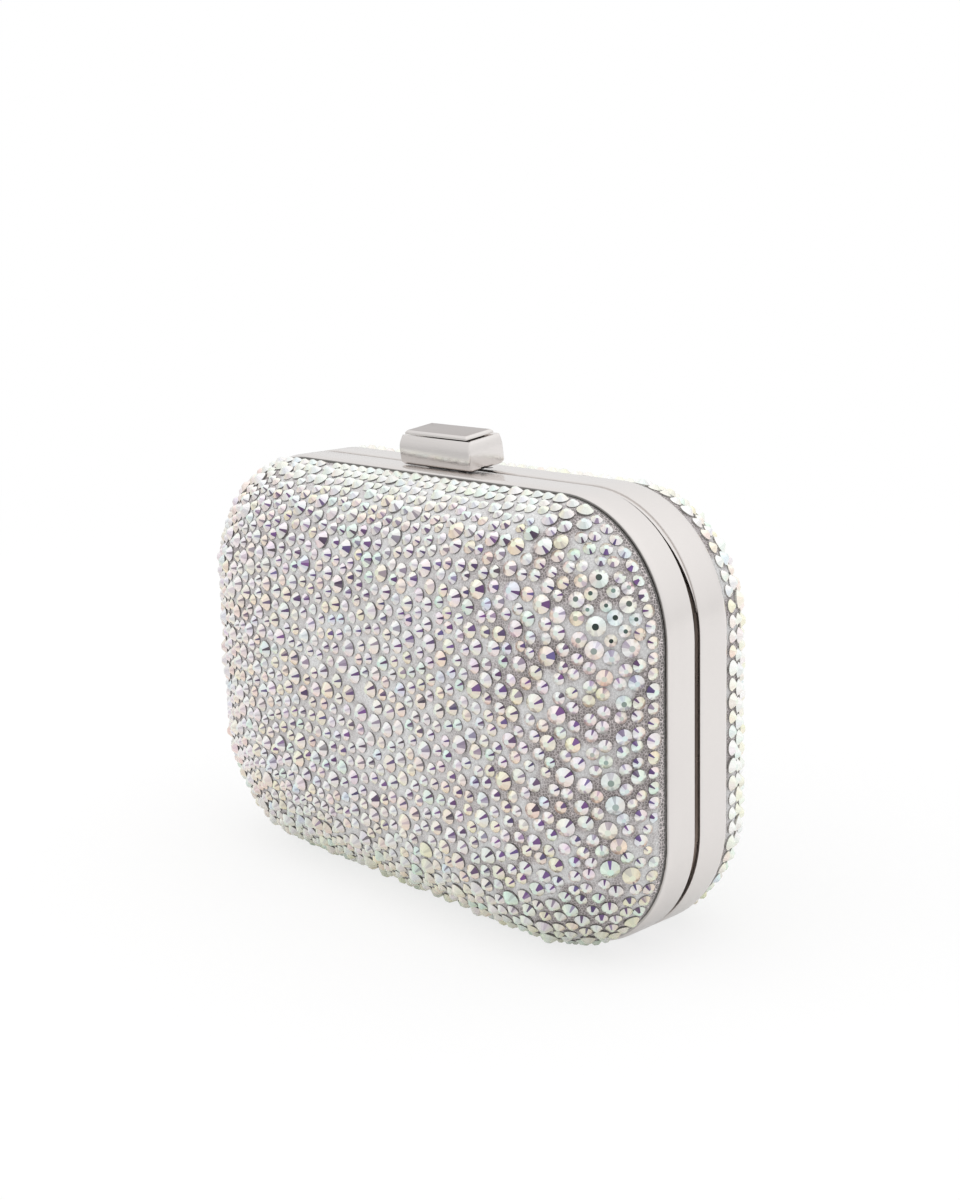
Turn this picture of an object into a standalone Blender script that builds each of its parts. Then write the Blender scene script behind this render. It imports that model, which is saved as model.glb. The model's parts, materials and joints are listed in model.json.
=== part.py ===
"""Crystal box clutch: two pillow shells in a pair of metal frame bands, hinged along the bottom edge.

Metres, +Z up. +X runs along the clutch, the front faces -Y. The origin is on the floor, under the middle.
"""
import math

import bmesh
import bpy
import numpy as np
from mathutils import Vector

# Frame
FRAME_WIDTH = 0.1703
FRAME_HEIGHT = 0.115
CORNER_RADIUS = 0.0336
FRONT_BAND_WIDTH = 0.0091
REAR_BAND_WIDTH = 0.0104
SEAM_GAP = 0.0020
BAND_WALL = 0.0018
BAND_EDGE_ROUNDING = 0.0011
SEAM_EDGE_ROUNDING = 0.0004
LIP_THICKNESS = 0.0008
LIP_REACH = 0.0018
LIP_FOOT_HEIGHT = 0.012
CORNER_STEPS = 6

# Clearances
FIT_GAP = 0.0003
PIN_CLEARANCE = 0.0001
CUT_OVERRUN = 0.002

# Pillow shells
COVER_INSET = 0.0012
COVER_RISE = 0.0249
COVER_THICKNESS = 0.0008
SHELL_WALL = 0.0016
LINING_THICKNESS = 0.0010
SKIRT_LENGTH = 0.0024
PROFILE_STEPS = 6
OUTLINE_POWER_SHARE = 4.57
RISE_POWER_SHARE = 1.70

# Large crystals, the only ones with a solid of their own shape
CRYSTAL_DIAMETER = 0.0046
CRYSTAL_HEIGHT = 0.0015
CRYSTAL_COUNT = 124
CRYSTAL_SPACING = 0.0005
RIM_MARGIN = 0.0065
CRYSTAL_SIDES = 4
CRYSTAL_SINK = 0.0003
CRYSTAL_TRIES = 24000
CRYSTAL_SEED = 11

# Hinge
HINGE_HEIGHT = 0.0020
HINGE_END_SETBACK = 0.00055
KNUCKLE_COUNT = 9
KNUCKLE_RADIUS = 0.0017
HINGE_PIN_RADIUS = 0.0008
LEAF_THICKNESS = 0.0010
LEAF_REACH = 0.0066
RELIEF_HALF_WIDTH = 0.0023
RIVET_END_SETBACK = 0.011
RIVET_OFFSET = 0.0046
RIVET_RADIUS = 0.0007
RIVET_HEAD_RADIUS = 0.0015
RIVET_HEAD_HEIGHT = 0.0006
ROUND_SIDES = 12

# Clasp, measured from its pivot before it leans
CLASP_LEAN_DEGREES = 7.0
PIVOT_SETBACK = 0.00185
PIVOT_HEIGHT = 0.0023
BLOCK_LENGTH = 0.0276
BLOCK_DEPTH = 0.0124
BLOCK_UNDERSIDE = 0.0012
BLOCK_SIDE_LOW = 0.0002
BLOCK_SIDE_HIGH = 0.0042
BLOCK_TOP = 0.0066
BLOCK_LOW_BEVEL = 0.0010
BLOCK_HIGH_BEVEL = 0.0013
BLOCK_WALL = 0.0007
PLATE_LENGTH = 0.0244
PLATE_DEPTH = 0.0098
PLATE_THICKNESS = 0.0010
PLATE_BEVEL = 0.0005
CARRIER_THICKNESS = 0.0010
CARRIER_WEB_HEIGHT = 0.0022
CARRIER_LENGTH = 0.017
CHEEK_SPACING = 0.013
CHEEK_DEPTH = 0.0036
CHEEK_DROP = 0.0009
TOOTH_WIDTH = 0.010
TOOTH_SETFORWARD = 0.0060
TOOTH_DEPTH = 0.00245
PIVOT_PIN_RADIUS = 0.0006
PIVOT_PIN_START = 0.0034
PIVOT_PIN_LENGTH = 0.0042
SCREW_SPACING = 0.013
SCREW_SETFORWARD = 0.0034
SCREW_RADIUS = 0.0008
SCREW_HEAD_RADIUS = 0.0015
SCREW_HEAD_HEIGHT = 0.0008

# Clasp bracket and spring
EAR_SPACING = 0.009
EAR_THICKNESS = 0.0012
EAR_DEPTH = 0.0028
EAR_CROWN = 0.0013
BRACKET_LENGTH = 0.024
BRACKET_DEPTH = 0.0066
BRACKET_THICKNESS = 0.0010
BRACKET_RIVET_END_SETBACK = 0.002
BRACKET_RIVET_OFFSET = 0.0042
SLOT_CLEARANCE = 0.0005
SLOT_LENGTH = 0.0022
SLOT_SETBACK = 0.0003
SPRING_RADIUS = 0.0010
SPRING_SETBACK = 0.0032

# Worked out from the sizes above
HALF_DEPTH = (FRONT_BAND_WIDTH + SEAM_GAP + REAR_BAND_WIDTH) / 2
FRONT_SEAM_Y = -HALF_DEPTH + FRONT_BAND_WIDTH
REAR_SEAM_Y = HALF_DEPTH - REAR_BAND_WIDTH
SEAM_Y = (FRONT_SEAM_Y + REAR_SEAM_Y) / 2
MID_HEIGHT = FRAME_HEIGHT / 2
HINGE_LENGTH = FRAME_WIDTH - 2 * (CORNER_RADIUS + HINGE_END_SETBACK)
RIVET_SPACING = HINGE_LENGTH / 2 - RIVET_END_SETBACK
BRACKET_RIVET_SPACING = BRACKET_LENGTH - 2 * BRACKET_RIVET_END_SETBACK
FRONT = -1
REAR = 1

CHROME = ("polished_nickel", (0.80, 0.77, 0.76), 0.12, 1.0)
STEEL = ("hinge_steel", (0.62, 0.62, 0.63), 0.30, 1.0)
MESH_FABRIC = ("grey_mesh", (0.55, 0.55, 0.54), 0.85, 0.0)
SHELL_PLASTIC = ("shell_board", (0.30, 0.30, 0.30), 0.60, 0.0)
LINING_FABRIC = ("satin_lining", (0.12, 0.12, 0.13), 0.50, 0.0)


def clear_scene():
    """Remove every object of the opened scene."""
    for item in list(bpy.data.objects):
        bpy.data.objects.remove(item, do_unlink=True)


def material(spec):
    """Return the named Principled material, made on first use."""
    name, colour, roughness, metallic = spec
    found = bpy.data.materials.get(name)
    if found:
        return found
    made = bpy.data.materials.new(name)
    made.use_nodes = True
    shader = made.node_tree.nodes["Principled BSDF"]
    shader.inputs["Base Color"].default_value = (*colour, 1.0)
    shader.inputs["Roughness"].default_value = roughness
    shader.inputs["Metallic"].default_value = metallic
    made.diffuse_color = (*colour, 1.0)
    return made


def new_object(name, vertices, faces, spec):
    """Make a closed mesh object with its faces pointing out."""
    mesh = bpy.data.meshes.new(name)
    mesh.from_pydata([tuple(point) for point in vertices], [], faces)
    shape = bmesh.new()
    shape.from_mesh(mesh)
    bmesh.ops.recalc_face_normals(shape, faces=shape.faces)
    shape.to_mesh(mesh)
    shape.free()
    made = bpy.data.objects.new(name, mesh)
    bpy.context.scene.collection.objects.link(made)
    if spec:
        mesh.materials.append(material(spec))
    return made


def box_data(low, high):
    """Return vertices and faces of a box between two corners."""
    vertices = [(x, y, z) for x in (low[0], high[0]) for y in (low[1], high[1]) for z in (low[2], high[2])]
    faces = [(0, 1, 3, 2), (4, 6, 7, 5), (0, 4, 5, 1), (2, 3, 7, 6), (0, 2, 6, 4), (1, 5, 7, 3)]
    return vertices, faces


def cylinder_data(start, axis, length, radius, sides=ROUND_SIDES):
    """Return vertices and faces of a cylinder that runs from start along the axis 'x' or 'z'."""
    vertices = []
    for along in (0.0, length):
        for k in range(sides):
            angle = 2 * math.pi * (k + 0.5) / sides
            a, b = radius * math.cos(angle), radius * math.sin(angle)
            offset = (along, a, b) if axis == "x" else (a, b, along)
            vertices.append(tuple(s + o for s, o in zip(start, offset)))
    sides_faces = [(k, (k + 1) % sides, sides + (k + 1) % sides, sides + k) for k in range(sides)]
    return vertices, sides_faces + [tuple(range(sides)), tuple(range(sides, 2 * sides))]


def turned_data(centre, steps, sides=ROUND_SIDES):
    """Return a solid turned about Z from (radius, height) steps, bottom to top."""
    vertices = []
    for radius, height in steps:
        for k in range(sides):
            angle = 2 * math.pi * k / sides
            x, y = radius * math.cos(angle), radius * math.sin(angle)
            vertices.append((centre[0] + x, centre[1] + y, height))
    faces = [tuple(range(sides)), tuple(range(len(vertices) - sides, len(vertices)))]
    for ring in range(len(steps) - 1):
        base = ring * sides
        for k in range(sides):
            n = (k + 1) % sides
            faces.append((base + k, base + n, base + sides + n, base + sides + k))
    return vertices, faces


def join_data(parts):
    """Join several vertex and face lists into one."""
    vertices, faces = [], []
    for part_vertices, part_faces in parts:
        start = len(vertices)
        vertices.extend(part_vertices)
        faces.extend(tuple(start + i for i in face) for face in part_faces)
    return vertices, faces


def cut(target, data, operation="DIFFERENCE"):
    """Apply a Boolean of the given solid to the target."""
    tool = new_object(target.name + "_tool", *data, None)
    tool.hide_render = True
    tool.display_type = "WIRE"
    modifier = target.modifiers.new("cut", "BOOLEAN")
    modifier.operation = operation
    modifier.solver = "EXACT"
    modifier.object = tool
    settled = bpy.data.meshes.new_from_object(target.evaluated_get(bpy.context.evaluated_depsgraph_get()))
    target.modifiers.clear()
    target.data = settled
    bpy.data.objects.remove(tool, do_unlink=True)


def outline(inset, share=1.0):
    """Return the frame's rounded rectangle, inset and then shrunk about its middle, as (x, z) points."""
    radius = CORNER_RADIUS - inset
    centre_x = FRAME_WIDTH / 2 - CORNER_RADIUS
    centre_z = FRAME_HEIGHT / 2 - CORNER_RADIUS
    points = []
    for corner, (side_x, side_z) in enumerate(((1, 1), (-1, 1), (-1, -1), (1, -1))):
        for step in range(CORNER_STEPS + 1):
            angle = math.pi / 2 * (corner + step / CORNER_STEPS)
            x = side_x * centre_x + radius * math.cos(angle)
            z = side_z * centre_z + radius * math.sin(angle)
            points.append((x * share, z * share + MID_HEIGHT))
    return points


def loop_faces(loop_count, size, closed):
    """Return the quads between neighbouring loops of points."""
    faces = []
    for loop in range(loop_count if closed else loop_count - 1):
        base, above = loop * size, (loop + 1) % loop_count * size
        for k in range(size):
            n = (k + 1) % size
            faces.append((base + k, base + n, above + n, above + k))
    return faces


def ring(name, section, spec):
    """Sweep a closed section of (inset, y) points round the frame's outline."""
    vertices = []
    for inset, y in section:
        vertices.extend((x, y, z) for x, z in outline(inset))
    size = len(outline(0.0))
    return new_object(name, vertices, loop_faces(len(section), size, True), spec)


def pillow_loops(side, inset, rise, start):
    """Return the pillow surface's loops from the frame's edge to near its middle, and the middle point."""
    loops = []
    for step in range(PROFILE_STEPS):
        angle = math.pi / 2 * (1 - step / PROFILE_STEPS)
        share = math.sin(angle) ** (2 / OUTLINE_POWER_SHARE)
        height = rise * max(math.cos(angle), 0.0) ** (2 / RISE_POWER_SHARE) if step else 0.0
        loops.append([(x, side * (start + height), z) for x, z in outline(inset, share)])
    return loops, (0.0, side * (start + rise), MID_HEIGHT)


def bowl(name, side, inset, rise, wall, start, tuck, spec):
    """Make a pillow shell of one wall, open towards the seam, whose skirt tucks back into the frame."""
    outer, outer_pole = pillow_loops(side, inset, rise, start)
    inner, inner_pole = pillow_loops(side, inset + wall, rise - wall, start)
    loops = list(reversed(outer)) + list(inner)
    if tuck:
        skirts = [[(x, side * (start - tuck), z) for x, z in outline(edge)] for edge in (inset, inset + wall)]
        loops = list(reversed(outer)) + skirts + list(inner)
    size = len(outer[0])
    vertices = [point for loop in loops for point in loop] + [outer_pole, inner_pole]
    faces = loop_faces(len(loops), size, False)
    outer_index, inner_index = len(vertices) - 2, len(vertices) - 1
    last = (len(loops) - 1) * size
    for k in range(size):
        n = (k + 1) % size
        faces.append((k, n, outer_index))
        faces.append((last + k, last + n, inner_index))
    return new_object(name, vertices, faces, spec)


def make_bands():
    """Make the two frame bands, with the hinge relief along their bottom edges."""
    bands = {}
    for side, seam, word in ((FRONT, FRONT_SEAM_Y, "front"), (REAR, REAR_SEAM_Y, "rear")):
        edge = side * HALF_DEPTH
        soft = BAND_EDGE_ROUNDING
        crisp = SEAM_EDGE_ROUNDING
        section = [
            (BAND_WALL, edge), (soft, edge), (soft * (1 - math.cos(math.pi / 4)), edge - side * soft / 2),
            (0.0, edge - side * soft * 2), (0.0, seam + side * crisp), (crisp, seam), (BAND_WALL, seam)]
        bands[side] = ring(word + "_frame_band", section, CHROME)
        relief_low = (-FRAME_WIDTH, SEAM_Y - RELIEF_HALF_WIDTH, -CUT_OVERRUN)
        relief_high = (FRAME_WIDTH, SEAM_Y + RELIEF_HALF_WIDTH, HINGE_HEIGHT + FIT_GAP)
        cut(bands[side], box_data(relief_low, relief_high))
    return bands


def make_seam_lip():
    """Make the thin inner ring that closes the seam, carried by the rear band."""
    outer = BAND_WALL + FIT_GAP
    inner = outer + LIP_THICKNESS
    front, back = FRONT_SEAM_Y - LIP_REACH, REAR_SEAM_Y + LIP_REACH
    lip = ring("seam_lip", [(outer, front), (inner, front), (inner, back), (outer, back)], CHROME)
    cut(lip, box_data((-FRAME_WIDTH, -HALF_DEPTH, -CUT_OVERRUN), (FRAME_WIDTH, HALF_DEPTH, LIP_FOOT_HEIGHT)))
    half = BRACKET_LENGTH / 2 + SLOT_CLEARANCE
    bracket_front = pivot_place().y - EAR_DEPTH / 2 - SLOT_CLEARANCE
    cut(lip, box_data((-half, bracket_front, MID_HEIGHT), (half, HALF_DEPTH, FRAME_HEIGHT + CUT_OVERRUN)))


def make_shells():
    """Make the cover, core and lining of both pillow halves and return the covers."""
    covers = {}
    core_inset = COVER_INSET + COVER_THICKNESS + FIT_GAP
    core_rise = COVER_RISE - COVER_THICKNESS - FIT_GAP
    lining_inset = core_inset + SHELL_WALL + FIT_GAP
    lining_rise = core_rise - SHELL_WALL - FIT_GAP
    for side, word in ((FRONT, "front"), (REAR, "rear")):
        start = HALF_DEPTH + FIT_GAP
        covers[side] = bowl(word + "_crystal_mesh", side, COVER_INSET, COVER_RISE, COVER_THICKNESS,
                            start, 0.0, MESH_FABRIC)
        bowl(word + "_shell_core", side, core_inset, core_rise, SHELL_WALL,
             start, SKIRT_LENGTH, SHELL_PLASTIC)
        bowl(word + "_lining", side, lining_inset, lining_rise, LINING_THICKNESS,
             start, SKIRT_LENGTH, LINING_FABRIC)
    return covers


def outer_triangles(cover):
    """Return the cover's outward triangles as corners, normals and areas."""
    mesh = cover.data
    mesh.calc_loop_triangles()
    centre = Vector((0.0, 0.0, MID_HEIGHT))
    corners, normals, areas = [], [], []
    for triangle in mesh.loop_triangles:
        points = [mesh.vertices[i].co for i in triangle.vertices]
        middle = sum(points, Vector()) / 3
        if triangle.normal.dot(middle - centre) > 0 and abs(middle.y) > HALF_DEPTH + FIT_GAP:
            corners.append(points)
            normals.append(triangle.normal)
            areas.append(triangle.area)
    return np.array(corners), np.array(normals), np.array(areas)


def scatter_crystals(cover):
    """Choose the seats of the large crystals at random, clear of the rim and of each other."""
    corners, normals, areas = outer_triangles(cover)
    random = np.random.default_rng(CRYSTAL_SEED)
    picks = random.choice(len(areas), CRYSTAL_TRIES, p=areas / areas.sum())
    shares = random.random((CRYSTAL_TRIES, 2))
    folded = shares.sum(axis=1) > 1
    shares[folded] = 1 - shares[folded]
    edges = corners[picks, 1:] - corners[picks, :1]
    points = corners[picks, 0] + (edges * shares[:, :, None]).sum(axis=1)
    places, facing = [], []
    for point, normal in zip(points, normals[picks]):
        if len(places) == CRYSTAL_COUNT:
            break
        if abs(point[1]) < HALF_DEPTH + RIM_MARGIN:
            continue
        spread = CRYSTAL_DIAMETER + CRYSTAL_SPACING
        if places and (np.linalg.norm(np.array(places) - point, axis=1) < spread).any():
            continue
        places.append(point)
        facing.append(normal)
    return places, facing


def crystal_data(place, normal):
    """Return a pyramid crystal, sunk a little into the cover, with its point outwards."""
    normal = Vector(normal)
    across = normal.cross(Vector((0.0, 0.0, 1.0)))
    if across.length < 0.5:
        across = normal.cross(Vector((1.0, 0.0, 0.0)))
    across.normalize()
    along = normal.cross(across)
    seat = Vector(place) - normal * CRYSTAL_SINK
    radius = CRYSTAL_DIAMETER / 2 * (1 + CRYSTAL_SINK / CRYSTAL_HEIGHT)
    vertices = []
    for k in range(CRYSTAL_SIDES):
        angle = 2 * math.pi * k / CRYSTAL_SIDES
        vertices.append(seat + radius * (math.cos(angle) * across + math.sin(angle) * along))
    vertices.append(Vector(place) + normal * CRYSTAL_HEIGHT)
    faces = [tuple(range(CRYSTAL_SIDES))]
    faces += [(k, (k + 1) % CRYSTAL_SIDES, CRYSTAL_SIDES) for k in range(CRYSTAL_SIDES)]
    return vertices, faces


def set_crystals(covers):
    """Fuse the large crystals to both covers. The rear pattern is the front's, turned half round."""
    places, facing = scatter_crystals(covers[FRONT])
    vertices, faces = join_data([crystal_data(place, normal) for place, normal in zip(places, facing)])
    cut(covers[FRONT], (vertices, faces), "UNION")
    cut(covers[REAR], ([(-x, -y, z) for x, y, z in vertices], faces), "UNION")


def make_hinge(bands):
    """Make the hinge leaves, their pin and the rivets that hold them to the bands."""
    pitch = HINGE_LENGTH / KNUCKLE_COUNT
    floor = BAND_WALL + FIT_GAP
    bore = (HINGE_PIN_RADIUS + PIN_CLEARANCE) / math.cos(math.pi / ROUND_SIDES)
    tip = HINGE_LENGTH / 2
    for side, word, first in ((FRONT, "front", 1), (REAR, "rear", 0)):
        far = SEAM_Y + side * LEAF_REACH
        near = SEAM_Y + side * (KNUCKLE_RADIUS + FIT_GAP)
        low, high = (min(far, near), max(far, near))
        leaf = new_object(word + "_hinge_leaf",
                          *box_data((-tip, low, floor), (tip, high, floor + LEAF_THICKNESS)), STEEL)
        for knuckle in range(first, KNUCKLE_COUNT, 2):
            start = -tip + knuckle * pitch + FIT_GAP / 2
            length = pitch - FIT_GAP
            joined = SEAM_Y + side * KNUCKLE_RADIUS * 2
            tab = box_data((start, min(SEAM_Y, joined), floor),
                           (start + length, max(SEAM_Y, joined), floor + LEAF_THICKNESS))
            cut(leaf, tab, "UNION")
            cut(leaf, cylinder_data((start, SEAM_Y, HINGE_HEIGHT), "x", length, KNUCKLE_RADIUS), "UNION")
        overrun = HINGE_LENGTH + 2 * CUT_OVERRUN
        cut(leaf, cylinder_data((-overrun / 2, SEAM_Y, HINGE_HEIGHT), "x", overrun, bore))
        for number, step in enumerate((-1, 0, 1), 1):
            centre = (step * RIVET_SPACING, SEAM_Y + side * RIVET_OFFSET)
            hole = cylinder_data((*centre, -CUT_OVERRUN), "z", floor + LEAF_THICKNESS + 2 * CUT_OVERRUN,
                                 RIVET_RADIUS + FIT_GAP)
            cut(bands[side], hole)
            cut(leaf, hole)
            shoulder = floor + LEAF_THICKNESS + FIT_GAP
            steps = [(RIVET_RADIUS, FIT_GAP), (RIVET_RADIUS, shoulder), (RIVET_HEAD_RADIUS, shoulder),
                     (RIVET_HEAD_RADIUS, shoulder + RIVET_HEAD_HEIGHT / 2),
                     (RIVET_RADIUS, shoulder + RIVET_HEAD_HEIGHT)]
            new_object("%s_hinge_rivet_%d" % (word, number), *turned_data(centre, steps), STEEL)
    new_object("hinge_pin", *cylinder_data((-tip, SEAM_Y, HINGE_HEIGHT), "x", HINGE_LENGTH, HINGE_PIN_RADIUS),
               STEEL)


def pivot_place():
    """Return the clasp's pivot, just behind the seam and above the frame's top."""
    return Vector((0.0, SEAM_Y + PIVOT_SETBACK, FRAME_HEIGHT + PIVOT_HEIGHT))


def lean(made):
    """Stand a clasp piece, modelled about the pivot, at its place with the clasp's lean."""
    made.location = pivot_place()
    made.rotation_euler = (math.radians(CLASP_LEAN_DEGREES), 0.0, 0.0)
    return made


def stacked_data(levels):
    """Return a solid through rectangles of (half_x, front_y, rear_y, z), bottom to top."""
    vertices = []
    for half, front, rear, z in levels:
        vertices.extend(((-half, front, z), (half, front, z), (half, rear, z), (-half, rear, z)))
    faces = loop_faces(len(levels), 4, False)
    faces += [(0, 1, 2, 3), tuple(range(len(vertices) - 4, len(vertices)))]
    return vertices, faces


def make_clasp_block():
    """Make the bevelled block, hollow from below, with seats for its two screws in the roof."""
    middle = -PIVOT_SETBACK
    half_x, half_y = BLOCK_LENGTH / 2, BLOCK_DEPTH / 2
    levels = []
    for z, bevel in ((-BLOCK_UNDERSIDE, BLOCK_LOW_BEVEL), (BLOCK_SIDE_LOW, 0.0), (BLOCK_SIDE_HIGH, 0.0),
                     (BLOCK_TOP, BLOCK_HIGH_BEVEL)):
        levels.append((half_x - bevel, middle - half_y + bevel, middle + half_y - bevel, z))
    block = new_object("clasp_block", *stacked_data(levels), CHROME)
    roof = CARRIER_WEB_HEIGHT + CARRIER_THICKNESS + FIT_GAP
    wall = BLOCK_LOW_BEVEL + BLOCK_WALL
    cut(block, box_data((-CARRIER_LENGTH / 2 - FIT_GAP, middle - half_y + wall, -BLOCK_TOP),
                        (CARRIER_LENGTH / 2 + FIT_GAP, middle + half_y - wall, roof)))
    seat = BLOCK_TOP - FIT_GAP - SCREW_HEAD_HEIGHT - FIT_GAP
    for step in (-1, 1):
        centre = (step * SCREW_SPACING / 2, -SCREW_SETFORWARD)
        cut(block, cylinder_data((*centre, 0.0), "z", BLOCK_TOP + CUT_OVERRUN, SCREW_RADIUS + FIT_GAP))
        cut(block, cylinder_data((*centre, seat), "z", BLOCK_TOP, SCREW_HEAD_RADIUS + FIT_GAP))
    return lean(block)


def make_clasp_plate():
    """Make the bare top plate, bevelled along its upper edges."""
    middle = -PIVOT_SETBACK
    low = BLOCK_TOP + FIT_GAP
    high = low + PLATE_THICKNESS
    levels = []
    for z, bevel in ((low, 0.0), (high - PLATE_BEVEL, 0.0), (high, PLATE_BEVEL)):
        levels.append((PLATE_LENGTH / 2 - bevel, middle - PLATE_DEPTH / 2 + bevel,
                       middle + PLATE_DEPTH / 2 - bevel, z))
    return lean(new_object("clasp_top_plate", *stacked_data(levels), CHROME))


def make_clasp_carrier():
    """Make the stamped rocker inside the block: a web, two drilled cheeks and the tooth."""
    low, high = CARRIER_WEB_HEIGHT, CARRIER_WEB_HEIGHT + CARRIER_THICKNESS
    half = CARRIER_LENGTH / 2
    rear = BLOCK_DEPTH / 2 - PIVOT_SETBACK - BLOCK_LOW_BEVEL - BLOCK_WALL - FIT_GAP
    web = box_data((-half, -TOOTH_SETFORWARD, low), (half, rear, high))
    carrier = new_object("clasp_carrier", *web, STEEL)
    for side in (-1, 1):
        inner = side * CHEEK_SPACING / 2
        outer = inner + side * CARRIER_THICKNESS
        cut(carrier, box_data((min(inner, outer), -CHEEK_DEPTH / 2, -CHEEK_DROP),
                              (max(inner, outer), CHEEK_DEPTH / 2, high)), "UNION")
    cut(carrier, box_data((-TOOTH_WIDTH / 2, -TOOTH_SETFORWARD, -TOOTH_DEPTH),
                          (TOOTH_WIDTH / 2, -TOOTH_SETFORWARD + CARRIER_THICKNESS, high)), "UNION")
    bore = (PIVOT_PIN_RADIUS + PIN_CLEARANCE) / math.cos(math.pi / ROUND_SIDES)
    cut(carrier, cylinder_data((-CARRIER_LENGTH, 0.0, 0.0), "x", 2 * CARRIER_LENGTH, bore))
    for side in (-1, 1):
        cut(carrier, cylinder_data((side * SCREW_SPACING / 2, -SCREW_SETFORWARD, 0.0), "z", BLOCK_TOP,
                                   SCREW_RADIUS + FIT_GAP))
    return lean(carrier)


def make_clasp_screws():
    """Make the two screws whose heads the top plate hides."""
    top = BLOCK_TOP - FIT_GAP
    bottom = CARRIER_WEB_HEIGHT - FIT_GAP
    steps = [(SCREW_RADIUS, bottom), (SCREW_RADIUS, top - SCREW_HEAD_HEIGHT),
             (SCREW_HEAD_RADIUS, top - SCREW_HEAD_HEIGHT), (SCREW_HEAD_RADIUS, top)]
    for number, side in enumerate((-1, 1), 1):
        centre = (side * SCREW_SPACING / 2, -SCREW_SETFORWARD)
        lean(new_object("clasp_screw_%d" % number, *turned_data(centre, steps), STEEL))


def make_clasp_pivots():
    """Make the two short pivot pins, each through a bracket ear and a carrier cheek."""
    for side, word in ((-1, "left"), (1, "right")):
        low = min(side * PIVOT_PIN_START, side * (PIVOT_PIN_START + PIVOT_PIN_LENGTH))
        pin = cylinder_data((low, 0.0, 0.0), "x", PIVOT_PIN_LENGTH, PIVOT_PIN_RADIUS)
        lean(new_object("clasp_pivot_pin_" + word, *pin, STEEL))


def make_clasp_bracket(rear_band):
    """Make the bracket under the rear band whose ears rise beside the seam, and its rivets."""
    pivot = pivot_place()
    top = FRAME_HEIGHT - BAND_WALL - FIT_GAP
    low = top - BRACKET_THICKNESS
    front = pivot.y - EAR_DEPTH / 2
    bracket = new_object("clasp_bracket", *box_data((-BRACKET_LENGTH / 2, front, low),
                                                    (BRACKET_LENGTH / 2, front + BRACKET_DEPTH, top)), STEEL)
    slot_rear = front + EAR_DEPTH + SLOT_CLEARANCE
    for side in (-1, 1):
        middle = side * EAR_SPACING / 2
        left, right = middle - EAR_THICKNESS / 2, middle + EAR_THICKNESS / 2
        cut(bracket, box_data((left, front, low), (right, front + EAR_DEPTH, pivot.z + EAR_CROWN)), "UNION")
        cut(rear_band, box_data((left - SLOT_CLEARANCE, SEAM_Y, top),
                                (right + SLOT_CLEARANCE, slot_rear, FRAME_HEIGHT + CUT_OVERRUN)))
    bore = (PIVOT_PIN_RADIUS + PIN_CLEARANCE) / math.cos(math.pi / ROUND_SIDES)
    cut(bracket, cylinder_data((-EAR_SPACING, pivot.y, pivot.z), "x", 2 * EAR_SPACING, bore))
    head = low - FIT_GAP
    steps = [(RIVET_RADIUS, head - RIVET_HEAD_HEIGHT), (RIVET_HEAD_RADIUS, head - RIVET_HEAD_HEIGHT / 2),
             (RIVET_HEAD_RADIUS, head), (RIVET_RADIUS, head), (RIVET_RADIUS, FRAME_HEIGHT - FIT_GAP)]
    for number, side in enumerate((-1, 1), 1):
        centre = (side * BRACKET_RIVET_SPACING / 2, SEAM_Y + BRACKET_RIVET_OFFSET)
        hole = cylinder_data((*centre, low - CUT_OVERRUN), "z", FRAME_HEIGHT - low + 2 * CUT_OVERRUN,
                             RIVET_RADIUS + FIT_GAP)
        cut(bracket, hole)
        cut(rear_band, hole)
        new_object("clasp_bracket_rivet_%d" % number, *turned_data(centre, steps), STEEL)


def make_clasp_spring():
    """Make the hidden spring, as a plain post, between the rear band and the carrier's web."""
    pivot = pivot_place()
    angle = math.radians(CLASP_LEAN_DEGREES)
    reach = SPRING_SETBACK - PIVOT_SETBACK - SPRING_RADIUS
    top = pivot.z + reach * math.sin(angle) + CARRIER_WEB_HEIGHT * math.cos(angle) - FIT_GAP
    start = (0.0, SEAM_Y + SPRING_SETBACK, FRAME_HEIGHT + FIT_GAP)
    return new_object("clasp_spring", *cylinder_data(start, "z", top - start[2], SPRING_RADIUS), STEEL)


def cut_tooth_slot(front_band):
    """Cut the slot in the front band that the tooth drops into."""
    angle = math.radians(CLASP_LEAN_DEGREES)
    back_of_tooth = -TOOTH_SETFORWARD + CARRIER_THICKNESS
    rear = pivot_place().y + back_of_tooth * math.cos(angle) + TOOTH_DEPTH * math.sin(angle) + SLOT_SETBACK
    half = TOOTH_WIDTH / 2 + SLOT_CLEARANCE
    cut(front_band, box_data((-half, rear - SLOT_LENGTH, FRAME_HEIGHT - BAND_WALL - CUT_OVERRUN),
                             (half, rear, FRAME_HEIGHT + CUT_OVERRUN)))


def main():
    """Build the whole clutch, closed."""
    clear_scene()
    bands = make_bands()
    make_seam_lip()
    set_crystals(make_shells())
    make_hinge(bands)
    make_clasp_block()
    make_clasp_plate()
    make_clasp_carrier()
    make_clasp_screws()
    make_clasp_pivots()
    make_clasp_bracket(bands[REAR])
    make_clasp_spring()
    cut_tooth_slot(bands[FRONT])
    for item in bpy.data.objects:
        if "clasp" in item.name or "hinge" in item.name:
            item.data.shade_smooth()
            item.data.set_sharp_from_angle(angle=math.radians(40))


main()
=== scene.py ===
"""Crystal box clutch: the looks of every piece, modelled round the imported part.

Metres, +Z up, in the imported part's own frame: +X runs along the clutch, the front faces -Y,
and the floor is at 0.
"""
import json
import math
from contextlib import contextmanager

import bmesh
import bpy
import numpy as np
from bpy.props import FloatProperty, FloatVectorProperty, IntProperty, PointerProperty
from mathutils import Matrix, Vector


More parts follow.
